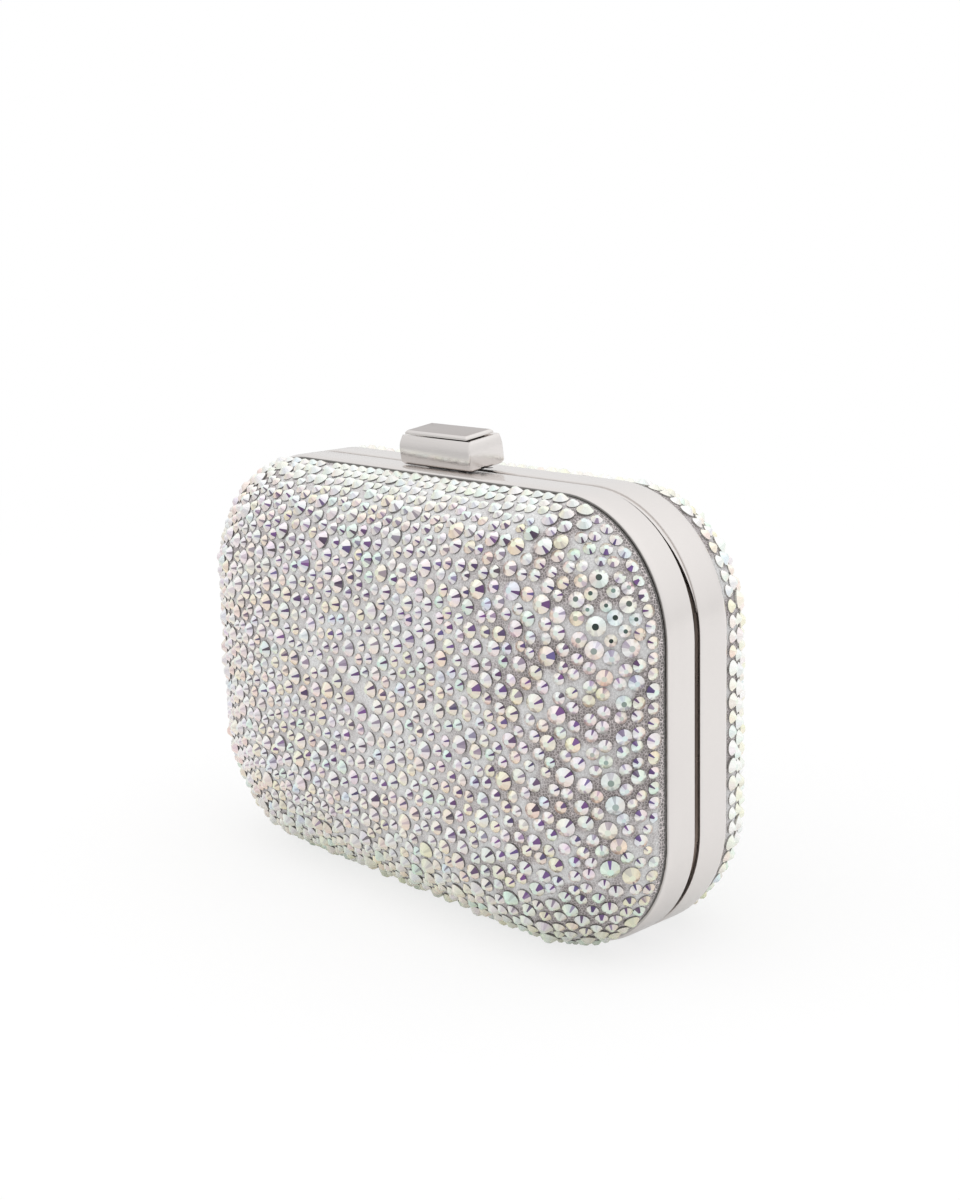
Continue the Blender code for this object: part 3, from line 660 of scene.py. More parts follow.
def knit_finish(colours):
    """Fine knitted mesh: open net by the front band, and elsewhere a close one with glue-filled patches;
    painted shade in the gap by the band and in the open net's holes there.
    """
    finish = Finish("knitted_mesh")
    place = finish.place()
    # The margin colour gives the painted shade of the gap by the band and of the open net's holes there
    warm, dark = shaded(colours.warm_thread), shaded(colours.margin)

    def eyelets(scale, thread, hole):
        """Return a net that is dark in its holes, from the thread's half width to where a hole starts."""
        net = finish.node("ShaderNodeTexVoronoi", {"feature": "DISTANCE_TO_EDGE"},
                          {"Vector": place, "Scale": scale, "Randomness": 0.8})
        return finish.carry(net, thread, hole, easing="LINEAR")

    fuzz = finish.noise(place, scale=3600.0, roughness=0.7)
    patches = finish.noise(place, scale=95.0, detail=2.0)
    from_front = finish.coordinate(place, "Y") * -1.0
    off_middle = finish.maths("ABSOLUTE", finish.coordinate(place, "X"))
    at_front = finish.maths("GREATER_THAN", from_front, 0.0)
    by_band = finish.carry(from_front, OPEN_NET_TO, CLOSE_NET_FROM, at_start=1.0, at_end=0.0) * at_front
    painted_gap_shade = finish.carry(from_front, GAP_DARK_TO, GAP_PALE_FROM, at_start=0.85, at_end=0.0) * at_front
    by_end = finish.carry(off_middle, BARE_FROM, BARE_TO, at_start=0.35)
    bare = finish.carry(patches, 0.43, 0.56, at_start=0.12, easing="LINEAR") * by_end
    close_net = eyelets(scale=1400.0, thread=0.03, hole=0.13)
    open_net = eyelets(scale=1300.0, thread=0.04, hole=0.12)
    grains = finish.noise(place, scale=2600.0, detail=2.0)
    speckle = finish.carry(grains, 0.36, 0.64, easing="LINEAR")
    glued = finish.blend(speckle, shaded(colours.thread, level=0.80), shaded(colours.thread, level=1.12))
    yarn = finish.blend(bare, glued, warm)
    tone = finish.blend(close_net * bare * 0.9, yarn, shaded(colours.eyelet))
    band_tone = finish.blend(open_net * 0.86, shaded(colours.warm_thread, level=1.32), dark)
    tone = finish.blend(by_band, tone, band_tone)
    tone = finish.blend(fuzz * 0.15, tone, warm)
    # Painted shade in the gap by the band
    tone = finish.blend(painted_gap_shade, tone, dark)
    depth = fuzz * 0.35 - close_net * bare * 0.4 - open_net * by_band * 0.6
    return finish.ending({
        "Base Color": tone,
        "Roughness": 0.82,
        "Sheen Weight": 0.25,
        "Sheen Roughness": 0.5,
        "Normal": finish.bump(depth, strength=0.8, distance=0.0003),
    })


def crystal_finish():
    """Foiled crystal with an iridescent coat: each facet's tint, which holds painted reflections and shade as
    well as the crystal's colour, under a hard clear gloss.
    """
    finish = Finish("iridescent_crystal")
    tint = finish.node("ShaderNodeAttribute", {"attribute_name": "tint"}, output="Color")
    swirl = finish.noise(finish.place(), scale=900.0, detail=2.0)
    warm = finish.blend(swirl, (0.96, 1.0, 0.98), (1.0, 0.96, 0.93))
    return finish.ending({
        "Base Color": finish.blend(1.0, tint, warm, "MULTIPLY"),
        "Metallic": 0.62,
        "Roughness": 0.14,
        "Coat Weight": 0.35,
        "Coat Roughness": 0.03,
        "Coat IOR": 1.55,
    })


def board_finish(colours):
    """Moulded board: fine pebbled grain."""
    finish = Finish("shell_board")
    grain = finish.noise(finish.place(), scale=1500.0, detail=4.0, roughness=0.6)
    return finish.ending({
        "Base Color": finish.blend(grain, shaded(colours.board, level=0.8), shaded(colours.board)),
        "Roughness": 0.62,
        "Normal": finish.bump(grain, strength=0.3),
    })


def satin_finish(colours):
    """Satin lining: close twill ribs, soft sheen and gentle rumples, its colour lighter and darker over the
    ribs, partly the twill's pattern, and over the rumples as painted sheen and shade.
    """
    finish = Finish("satin_lining")
    place = finish.place()
    ribs = finish.node("ShaderNodeTexWave", {"bands_direction": "DIAGONAL"},
                       {"Vector": place, "Scale": 260.0, "Distortion": 0.6, "Detail": 1.0}, output="Fac")
    rumple = finish.noise(place, scale=60.0)
    return finish.ending({
        # Lighter and darker over the rumples as painted sheen and shade; over the ribs, partly the twill's
        # pattern
        "Base Color": finish.blend(ribs * 0.4 + rumple * 0.6, shaded(colours.satin, level=0.6),
                                   shaded(colours.satin, level=1.5)),
        "Roughness": 0.34 + rumple * 0.16,
        "Sheen Weight": 0.4,
        "Sheen Roughness": 0.35,
        "Normal": finish.bump(ribs * 0.15 + rumple * 0.85, strength=0.6, distance=0.0018),
    })


FINISHES = {}


def make_finishes(colours):
    """Make every finish once."""
    FINISHES["nickel"] = nickel_finish("polished_nickel", colours.nickel, 0.13)
    # The bands take the painted shade along their edges by the knit
    FINISHES["band"] = nickel_finish("banded_nickel", colours.nickel, 0.13, colours.margin)
    FINISHES["plate"] = nickel_finish("satin_plate", colours.plate, 0.24)
    FINISHES["lip"] = lip_finish(colours)
    FINISHES["steel"] = steel_finish("hinge_steel", colours.steel)
    FINISHES["knit"] = knit_finish(colours)
    FINISHES["crystal"] = crystal_finish()
    FINISHES["board"] = board_finish(colours)
    FINISHES["satin"] = satin_finish(colours)


# Frame
def rounded_block(name, inset, y_from, y_to, sizes):
    """Model a block with the frame's rounded outline, inset, between two depths."""
    low = (OUTLINE_LOW.x + inset, min(y_from, y_to), OUTLINE_LOW.z + inset)
    high = (OUTLINE_HIGH.x - inset, max(y_from, y_to), OUTLINE_HIGH.z - inset)
    piece = box_piece(name, low, high)
    with editing(piece):
        pick_edges(piece, runs_along("y"))
        round_picked(sizes.corner_radius - inset, sizes.corner_steps)
    return piece


def round_end(reach, width, steps):
    """In edit mode, carry the selected end face outwards over a rounded edge."""
    done_reach, done_width = 0.0, 0.0
    for step in range(1, steps + 1):
        angle = math.pi / 2 * step / steps
        next_reach, next_width = reach * (1 - math.cos(angle)), width * math.sin(angle)
        bpy.ops.mesh.inset(thickness=next_reach - done_reach, depth=next_width - done_width)
        done_reach, done_width = next_reach, next_width


def hollow_out(piece, wall):
    """In edit mode, open both ends of a block to a wall and join the openings."""
    for facing in (REAR, FRONT):
        pick_faces(piece, looks_along("y", facing))
        open_end(wall)
    join_openings(piece)


def band_ring(name, side, sizes):
    """Model one metal band: rounded towards the shell, crisp towards the seam."""
    y_from = BAND_SEAMS[side] + side * sizes.seam_reach
    y_to = BAND_EDGES[side] - side * sizes.edge_width
    piece = rounded_block(name, 0.0, y_from, y_to, sizes)
    ends = ((side, sizes.edge_reach, sizes.edge_width), (-side, sizes.seam_reach, sizes.seam_reach))
    with editing(piece):
        for facing, reach, width in ends:
            pick_faces(piece, looks_along("y", facing))
            round_end(reach, width, sizes.rounding_steps)
            open_end(sizes.wall - reach)
        join_openings(piece)
    return piece


def cut_slot(band, middle, length, y_from, y_to, over):
    """Cut a slot through the top of a band."""
    cut_away(band, (middle - length / 2, y_from, OUTLINE_HIGH.z - 2 * over),
             (middle + length / 2, y_to, OUTLINE_HIGH.z + over))


def drill_for_rivet(band, rivet, height, sizes):
    """Drill the hole of a rivet through a band at this height, where the rivet's CAD node stands."""
    low, high = box_of(rivet)
    drill(band, ((low.x + high.x) / 2, (low.y + high.y) / 2, height), sizes.rivet_hole_radius,
          4 * sizes.cut_overrun)


class ClutchBands(bpy.types.Operator):
    """Model the two polished bands with their hinge relief, slots and rivet holes"""
    bl_idname = "clutch.bands"
    bl_label = "Frame bands"

    def execute(self, context):
        sizes = context.scene.clutch_frame
        over = sizes.cut_overrun
        for side, word in SIDES:
            band = band_ring(word + "_band", side, sizes)
            cut_away(band, (OUTLINE_LOW.x - over, SEAM_Y - sizes.relief_half_width, OUTLINE_LOW.z - over),
                     (OUTLINE_HIGH.x + over, SEAM_Y + sizes.relief_half_width, sizes.relief_height))
            if side == FRONT:
                y_rear = BAND_SEAMS[FRONT] - sizes.tooth_slot_setback
                cut_slot(band, 0, sizes.tooth_slot_length, y_rear - sizes.tooth_slot_depth, y_rear, over)
            else:
                for number, way in ((1, -1), (2, 1)):
                    cut_slot(band, way * sizes.ear_spacing / 2, sizes.ear_slot_width, SEAM_Y,
                             BAND_SEAMS[REAR] + sizes.ear_slot_depth, over)
                    drill_for_rivet(band, "clasp_bracket_rivet_%d" % number, OUTLINE_HIGH.z, sizes)
            for number in (1, 2, 3):
                drill_for_rivet(band, "%s_hinge_rivet_%d" % (word, number), OUTLINE_LOW.z, sizes)
            clean_up(band)
            smooth(band)
            dress(band, word + "_half", "polished_nickel", FINISHES["band"], word + "_frame_band")
        return {"FINISHED"}


class ClutchLip(bpy.types.Operator):
    """Model the thin lip that closes the seam from inside, and the bead that fills the seam's upper part"""
    bl_idname = "clutch.lip"
    bl_label = "Seam lip"

    def execute(self, context):
        sizes = context.scene.clutch_frame
        low, high = box_of("seam_lip")
        bracket_low, bracket_high = box_of("clasp_bracket")
        over_top = OUTLINE_HIGH.z + sizes.cut_overrun
        lip = rounded_block("closing_lip", sizes.wall + sizes.fit_gap, low.y, high.y, sizes)
        with editing(lip):
            hollow_out(lip, sizes.lip_thickness)
            cut_by_plane((0, 0, low.z), (0, 0, 1))
        slack = 2 * sizes.fit_gap
        cut_away(lip, (bracket_low.x - slack, bracket_low.y - slack, MID_HEIGHT),
                 (bracket_high.x + slack, high.y + sizes.cut_overrun, over_top))
        smooth(lip)
        dress(lip, "rear_half", "polished_nickel", FINISHES["lip"], "seam_lip")
        bead_rear = SEAM_Y + sizes.bead_rear
        bead = rounded_block("lip_bead", sizes.bead_sink, SEAM_Y - sizes.bead_front, bead_rear, sizes)
        with editing(bead):
            hollow_out(bead, sizes.bead_depth)
            cut_by_plane((0, bead_rear, sizes.bead_foot), (0, 1, sizes.bead_slant))
        free = context.scene.clutch_clasp.length / 2 + sizes.fit_gap
        cut_away(bead, (-free, low.y, MID_HEIGHT), (free, high.y, over_top))
        round_edges(bead, sizes.bead_rounding, steps=4, degrees=40)
        clean_up(bead, reach=0.000002)
        smooth(bead)
        dress(bead, "rear_half", "polished_nickel", FINISHES["nickel"])
        return {"FINISHED"}


# Shells
def pillow_profile(angle, rise, shell):
    """Return the outline's share and the height over the rim at an angle from the pillow's middle."""
    outline_share = math.sin(angle) ** (2 / shell.outline_power)
    return outline_share, rise * max(math.cos(angle), 0.0) ** (2 / shell.rise_power)


def pillow_bowl(name, side, inset, rise, wall, tuck, shell, sizes):
    """Model a pillow shell of one wall, open towards the seam."""
    start = BAND_EDGES[side] + side * sizes.fit_gap
    piece = rounded_block(name, inset, start - side * tuck, start, sizes)
    with editing(piece):
        pick_faces(piece, looks_along("y", side))
        done_share, done_height = 1.0, 0.0
        for step in range(1, shell.steps):
            angle = math.pi / 2 * (1 - step / shell.steps) ** shell.crowding
            next_share, next_height = pillow_profile(angle, rise, shell)
            bpy.ops.mesh.extrude_region_move(
                TRANSFORM_OT_translate={"value": (0, side * (next_height - done_height), 0)})
            ratio = next_share / done_share
            bpy.ops.transform.resize(value=(ratio, 1, ratio), center_override=(0, 0, MID_HEIGHT))
            done_share, done_height = next_share, next_height
        bpy.ops.mesh.merge(type="CENTER")
        pick_faces(piece, looks_along("y", -side))
        bpy.ops.mesh.delete(type="ONLY_FACE")
        face_outwards()
    apply_modifier(piece, "SOLIDIFY", thickness=wall, offset=-1.0, use_even_offset=True, use_rim=True)
    smooth(piece, degrees=40)
    return piece


class ClutchShells(bpy.types.Operator):
    """Model the knitted cover, the moulded core and the lining of both shells"""
    bl_idname = "clutch.shells"
    bl_label = "Pillow shells"

    def execute(self, context):
        shell = context.scene.clutch_shell
        sizes = context.scene.clutch_frame
        layers = (
            ("_knit_cover", "crystal_mesh", "knit", "_crystal_mesh", shell.cover, shell.hem),
            ("_moulded_core", "shell_board", "board", "_shell_core", shell.core, shell.skirt),
            ("_satin_lining", "satin_lining", "satin", "_lining", shell.lining, shell.skirt),
        )
        for side, word in SIDES:
            inset, rise = shell.inset, shell.rise
            for piece_end, slot, finish, node_end, wall, tuck in layers:
                layer = pillow_bowl(word + piece_end, side, inset, rise, wall, tuck, shell, sizes)
                dress(layer, word + "_half", slot, FINISHES[finish], word + node_end)
                inset += wall + sizes.fit_gap
                rise -= wall + sizes.fit_gap
        return {"FINISHED"}


# Crystals
class Pillow:
    """The front cover's outer surface as a formula, for seating crystals on it."""
    SLOPE_STEP = 2e-5
    LEAST_SQUARE = 1e-12  # both keep a division from meeting nought
    LEAST_SLOPE = 1e-9
    END_POWER = 6  # how suddenly the rim's height changes near the ends
    SETTLE_STEPS = 3
    CORNER_POINTS = 60

    def __init__(self, shell, sizes):
        self.half = np.array((OUTLINE_HIGH.x, OUTLINE_HIGH.z - MID_HEIGHT)) - shell.inset
        self.radius = sizes.corner_radius - shell.inset
        self.start = BAND_EDGES[FRONT] - sizes.fit_gap
        self.rise = shell.rise
        self.powers = (shell.outline_power, shell.rise_power)

    def outline_share(self, points):
        """Return how far out each point lies, as a share of the rounded outline."""
        across, up = abs(points[:, 0]), abs(points[:, 2] - MID_HEIGHT)
        flat_x, flat_z = self.half - self.radius
        by_side, by_top = across / self.half[0], up / self.half[1]
        along = across * flat_x + up * flat_z
        square = np.maximum(across ** 2 + up ** 2, self.LEAST_SQUARE)
        inside = along ** 2 - square * (flat_x ** 2 + flat_z ** 2 - self.radius ** 2)
        by_corner = square / (along + np.sqrt(np.maximum(inside, 0)))
        result = np.where(across <= by_top * flat_x, by_top, by_corner)
        return np.where(up <= by_side * flat_z, by_side, result)

    def level(self, points):
        """Return a value that is nought on the surface and positive outside it."""
        height = np.maximum(self.start - points[:, 1], 0) / self.rise
        return self.outline_share(points) ** self.powers[0] + height ** self.powers[1] - 1

    def slope(self, points):
        """Return the level's gradient by differences."""
        step = self.SLOPE_STEP
        rises = [self.level(points + axis) - self.level(points - axis) for axis in np.eye(3) * step]
        return np.stack(rises, axis=1) / (2 * step)

    def normals(self, points):
        """Return the surface's outward directions."""
        slope = self.slope(points)
        return slope / np.linalg.norm(slope, axis=1)[:, None]

    def rim_height(self, points, at_ends, elsewhere):
        """Return a height over the rim that changes from the long sides to the ends."""
        end_share = np.minimum(abs(points[:, 0]) / self.half[0], 1) ** self.END_POWER
        return elsewhere + (at_ends - elsewhere) * end_share

    def settle(self, points, heights):
        """Move points onto the surface, no nearer the rim than these heights at the ends and elsewhere."""
        for _ in range(self.SETTLE_STEPS):
            slope = self.slope(points)
            points = points - slope * (self.level(points) / (slope ** 2).sum(axis=1))[:, None]
        points[:, 1] = np.minimum(points[:, 1], self.start - self.rim_height(points, *heights))
        slope = self.slope(points)
        slope[:, 1] = 0
        steepness = np.maximum((slope ** 2).sum(axis=1), self.LEAST_SLOPE)
        return points - slope * (self.level(points) / steepness)[:, None]

    def ring(self, heights):
        """Return a dense loop of points round the pillow at these heights over its ends and elsewhere."""
        corners = []
        for corner, (side_x, side_z) in enumerate(((1, 1), (-1, 1), (-1, -1), (1, -1))):
            angles = np.pi / 2 * (corner + np.linspace(0, 1, self.CORNER_POINTS))
            x = side_x * (self.half[0] - self.radius) + self.radius * np.cos(angles)
            z = side_z * (self.half[1] - self.radius) + self.radius * np.sin(angles)
            corners.append(np.stack((x, z), axis=1))
        loop = np.concatenate(corners + [corners[0][:1]])
        height = self.rim_height(loop, *heights)
        loop = loop * ((1 - (height / self.rise) ** self.powers[1]) ** (1 / self.powers[0]))[:, None]
        return np.stack((loop[:, 0], self.start - height, loop[:, 1] + MID_HEIGHT), axis=1)


STAND_OFF = 0.00045  # least distance of a CAD crystal's points from the pillow
TIP_HEIGHT = 0.0010  # height of a CAD crystal's tip over the pillow
SAME_PLACE_DIGITS = 6


def large_seats(pillow):
    """Return where the CAD model's large crystals sit: the points of its mesh that stand off the pillow."""
    mesh = frame["nodes"]["front_crystal_mesh"].data
    points = np.empty(len(mesh.vertices) * 3)
    mesh.vertices.foreach_get("co", points)
    points = np.unique(points.reshape(-1, 3).round(SAME_PLACE_DIGITS), axis=0)
    slope = np.linalg.norm(pillow.slope(points), axis=1)
    tips = points[pillow.level(points) / slope > STAND_OFF]
    return pillow.settle(tips - pillow.normals(tips) * TIP_HEIGHT, (0.0, 0.0))


def rim_row(pillow, crystals, medium_share, heights, random):
    """Return seats and radii of the even row along the rim."""
    radii = []
    loop = pillow.ring(heights - crystals.small / 2)
    lengths = np.concatenate(([0], np.cumsum(np.linalg.norm(np.diff(loop, axis=0), axis=1))))
    while 2 * sum(radii) + len(radii) * crystals.rim_gap < lengths[-1]:
        radii.append((crystals.medium if random.random() < medium_share / 2 else crystals.small) / 2)
    radii = np.array(radii[:-1])
    gap = (lengths[-1] - 2 * radii.sum()) / len(radii)
    middles = np.cumsum(2 * radii + gap) - radii
    seats = np.stack([np.interp(middles, lengths, loop[:, axis]) for axis in range(3)], axis=1)
    return seats, radii


CLOUD_SHARE = 100  # points of the cloud for each one that is wanted
CLOSE_BY = 0.0003


def scattered_points(pillow, number, random):
    """Return points spread evenly over the pillow: those of a cloud that fall close to its surface."""
    half_x, half_z = pillow.half
    low = (-half_x, pillow.start - pillow.rise, MID_HEIGHT - half_z)
    high = (half_x, pillow.start, MID_HEIGHT + half_z)
    cloud = random.uniform(low, high, (CLOUD_SHARE * number, 3))
    distances = abs(pillow.level(cloud)) / np.linalg.norm(pillow.slope(cloud), axis=1)
    return cloud[distances < CLOSE_BY][:number]


NEIGHBOUR_DISTANCE = 0.0075
ROUNDS_BETWEEN_LISTS = 10
LEAST_DISTANCE = 1e-7
ROOM_AT_START = 2.0  # room for each crystal at first, in gaps, which falls to one gap
ROOM_FALL = 1.4
PUSH_SHARE = 0.45


def push_apart(points, radii, fixed, crystals, pillow, heights):
    """Let the crystals push their neighbours apart over the pillow until they lie evenly."""
    loose = ~fixed
    for turn_number in range(crystals.rounds):
        if turn_number % ROUNDS_BETWEEN_LISTS == 0:
            between = np.linalg.norm(points[:, None] - points[None], axis=2)
            first, second = np.nonzero(np.triu(between < NEIGHBOUR_DISTANCE, 1))
        offsets = points[first] - points[second]
        distances = np.maximum(np.linalg.norm(offsets, axis=1), LEAST_DISTANCE)
        drift = 1 + crystals.gap_drift * points[first, 0] / pillow.half[0]
        reach = crystals.gap * drift * (ROOM_AT_START - min(1.0, ROOM_FALL * turn_number / crystals.rounds))
        overlap = np.maximum(radii[first] + radii[second] + reach - distances, 0)
        pushes = offsets * (overlap / distances * PUSH_SHARE)[:, None]
        moves = np.zeros_like(points)
        np.add.at(moves, first, pushes)
        np.add.at(moves, second, -pushes)
        moves[fixed] = 0
        points = points + moves
        points[loose] = pillow.settle(points[loose], heights)
    return points


SIZE_SPREAD = (0.96, 1.03)
SHRINK_SHARE = 0.55  # share of an overlap that each of the two crystals gives way


def shrink_to_fit(points, radii):
    """Shrink the crystals that still overlap until they only touch."""
    between = np.linalg.norm(points[:, None] - points[None], axis=2)
    np.fill_diagonal(between, 1.0)
    overlap = radii[:, None] + radii[None] - between
    return radii - np.maximum(overlap.max(axis=1) * SHRINK_SHARE, 0)


def crystal_seats(pillow, crystals, number, medium_share, margin, seed):
    """Return every crystal's seat and radius, as at the front: large ones, the rim's row, those between."""
    random = np.random.default_rng(seed)
    large = large_seats(pillow)
    heights = np.array((margin, crystals.long_margin)) + crystals.small
    rim, rim_radii = rim_row(pillow, crystals, medium_share, heights, random)
    reach = crystals.large / 2 + rim_radii + crystals.rim_gap
    clear = (np.linalg.norm(rim[:, None] - large[None], axis=2) > reach[:, None]).all(axis=1)
    rim, rim_radii = rim[clear], rim_radii[clear]
    loose_count = number - len(large) - len(rim)
    loose = scattered_points(pillow, loose_count, random)
    sizes = np.where(random.random(loose_count) < medium_share, crystals.medium, crystals.small)
    points = np.concatenate((large, rim, loose))
    radii = np.concatenate((np.full(len(large), crystals.large / 2), rim_radii, sizes / 2))
    fixed = np.arange(len(points)) < len(large) + len(rim)
    points[~fixed] = pillow.settle(points[~fixed], heights)
    points = push_apart(points, radii, fixed, crystals, pillow, heights)
    return points, shrink_to_fit(points, radii * random.uniform(*SIZE_SPREAD, len(radii)))


def cut_crystal(crystals):
    """Model one crystal of unit radius: upright girdle, facets and a small flat tip."""
    bpy.ops.object.select_all(action="DESELECT")
    bpy.ops.mesh.primitive_cylinder_add(vertices=crystals.facets, radius=1.0, depth=crystals.girdle_share,
                                        location=(0, 0, crystals.girdle_share / 2))
    gem = bpy.context.object
    gem.name = gem.data.name = "crystal_cut"
    apply_place(gem)
    height = (1 - crystals.tip_share) * math.tan(crystals.slope)
    with editing(gem):
        pick_faces(gem, looks_along("z", 1))
        bpy.ops.mesh.extrude_region_move(TRANSFORM_OT_translate={"value": (0, 0, height)})
        bpy.ops.transform.resize(value=(crystals.tip_share, crystals.tip_share, 1),
                                 center_override=(0, 0, 0))
        face_outwards()
    return gem


def ramp_between(values, low, high):
    """Return a smooth step from nought at low to one at high."""
    steps = np.clip((values - low) / (high - low), 0, 1)
    return steps * steps * (3 - 2 * steps)


BASE_NAMES = ("pearl", "cream", "mint", "peach", "rose", "sky")
BASE_ODDS = np.array((0.40, 0.18, 0.14, 0.14, 0.06, 0.08))
# What a crystal's colour gains with the way it faces is painted reflection on its own colour: warmer turned
# aside, greener facing the flash, aloft and below
ASIDE_ODDS = np.array((0.05, 0.14, -0.10, 0.14, -0.03, -0.05))  # what is added where a crystal turns aside
MINT = BASE_NAMES.index("mint")
MINT_ALOFT, MINT_BELOW, MINT_FACING = 0.1, 0.3, 0.4  # more mint above and below, below alone, by the flash
FLASH_NAMES = ("violet", "indigo", "smoke")
BASE_PALENESS = (-0.35, 0.8)
# Crystals that face up or down are painted paler, as a painted reflection
UPRIGHT_PALENESS = 0.65
BASE_LEVELS = (0.95, 1.04)
# Crystals turned aside are painted lighter, as a painted reflection
FACING_LEVEL, ASIDE_LEVEL = 0.93, 0.07
AWAY_LEVELS = (0.2, 2.2)
RING_LEVELS = (0.95, 1.05)
FACET_LEVELS = (0.94, 1.04)
UPRIGHT_FROM, UPRIGHT_TO = 0.74, 0.93
ASIDE_REACH = 1.35
# What facets towards the flash, away from it, to its one side and to its other multiply the base by: painted
# shade towards the flash, the coat's cast and painted reflection away from it, a painted highlight on the one
# side and a warmer painted reflection on the other
TOWARDS, ONE_SIDE, OTHER_SIDE = (0.92, 0.88, 0.95), (1.10, 1.12, 1.11), (1.01, 0.95, 0.90)
# The same painted ring, plainer, for crystals that face the flash or face up or down
PLAIN_RING = np.array(((0.84, 0.93, 0.92), (1.00, 1.00, 0.95), (1.06, 1.08, 1.06), (0.93, 0.95, 0.87)))
PLAIN_RING_SHARE = 0.75
# The flash is a painted dark reflection on the facets that face its way
FLASH_WIDTHS = (1.0, 1.9)  # in facets
WIDE_ODDS, WIDE_ODDS_LOST_ASIDE = 0.52, 0.47
FLASH_FACING, FLASH_ASIDE, FLASH_FADE = 0.9, 0.45, 0.55  # shares of the flash's reach
FLASH_MIX, FLASH_MIX_ASIDE = np.array((1.5, 1.0, 0.8)), np.array((-1.0, -0.7, 2.0))
FLASH_LIFT_ASIDE = 0.07
FLASH_LEVELS = (0.6, 1.25)
FLASH_STRENGTHS = (1.0, 0.7, 0.25)
MIDDLE_ODDS, FAINT_ODDS, FAINT_ODDS_ASIDE = 0.2, 0.08, 0.38
PALE_TIP_SHARES = (0.0, 0.3, 1.0)
PLAIN_TIP = np.array((0.92, 1.0, 0.97))
HEADING_CUT = 0.1  # keeps the facet that faces backwards from falling at either end of the order


def unit_rows(rows, least=1e-6):
    """Return rows of one length."""
    return rows / np.maximum(np.linalg.norm(rows, axis=1), least)[:, None]


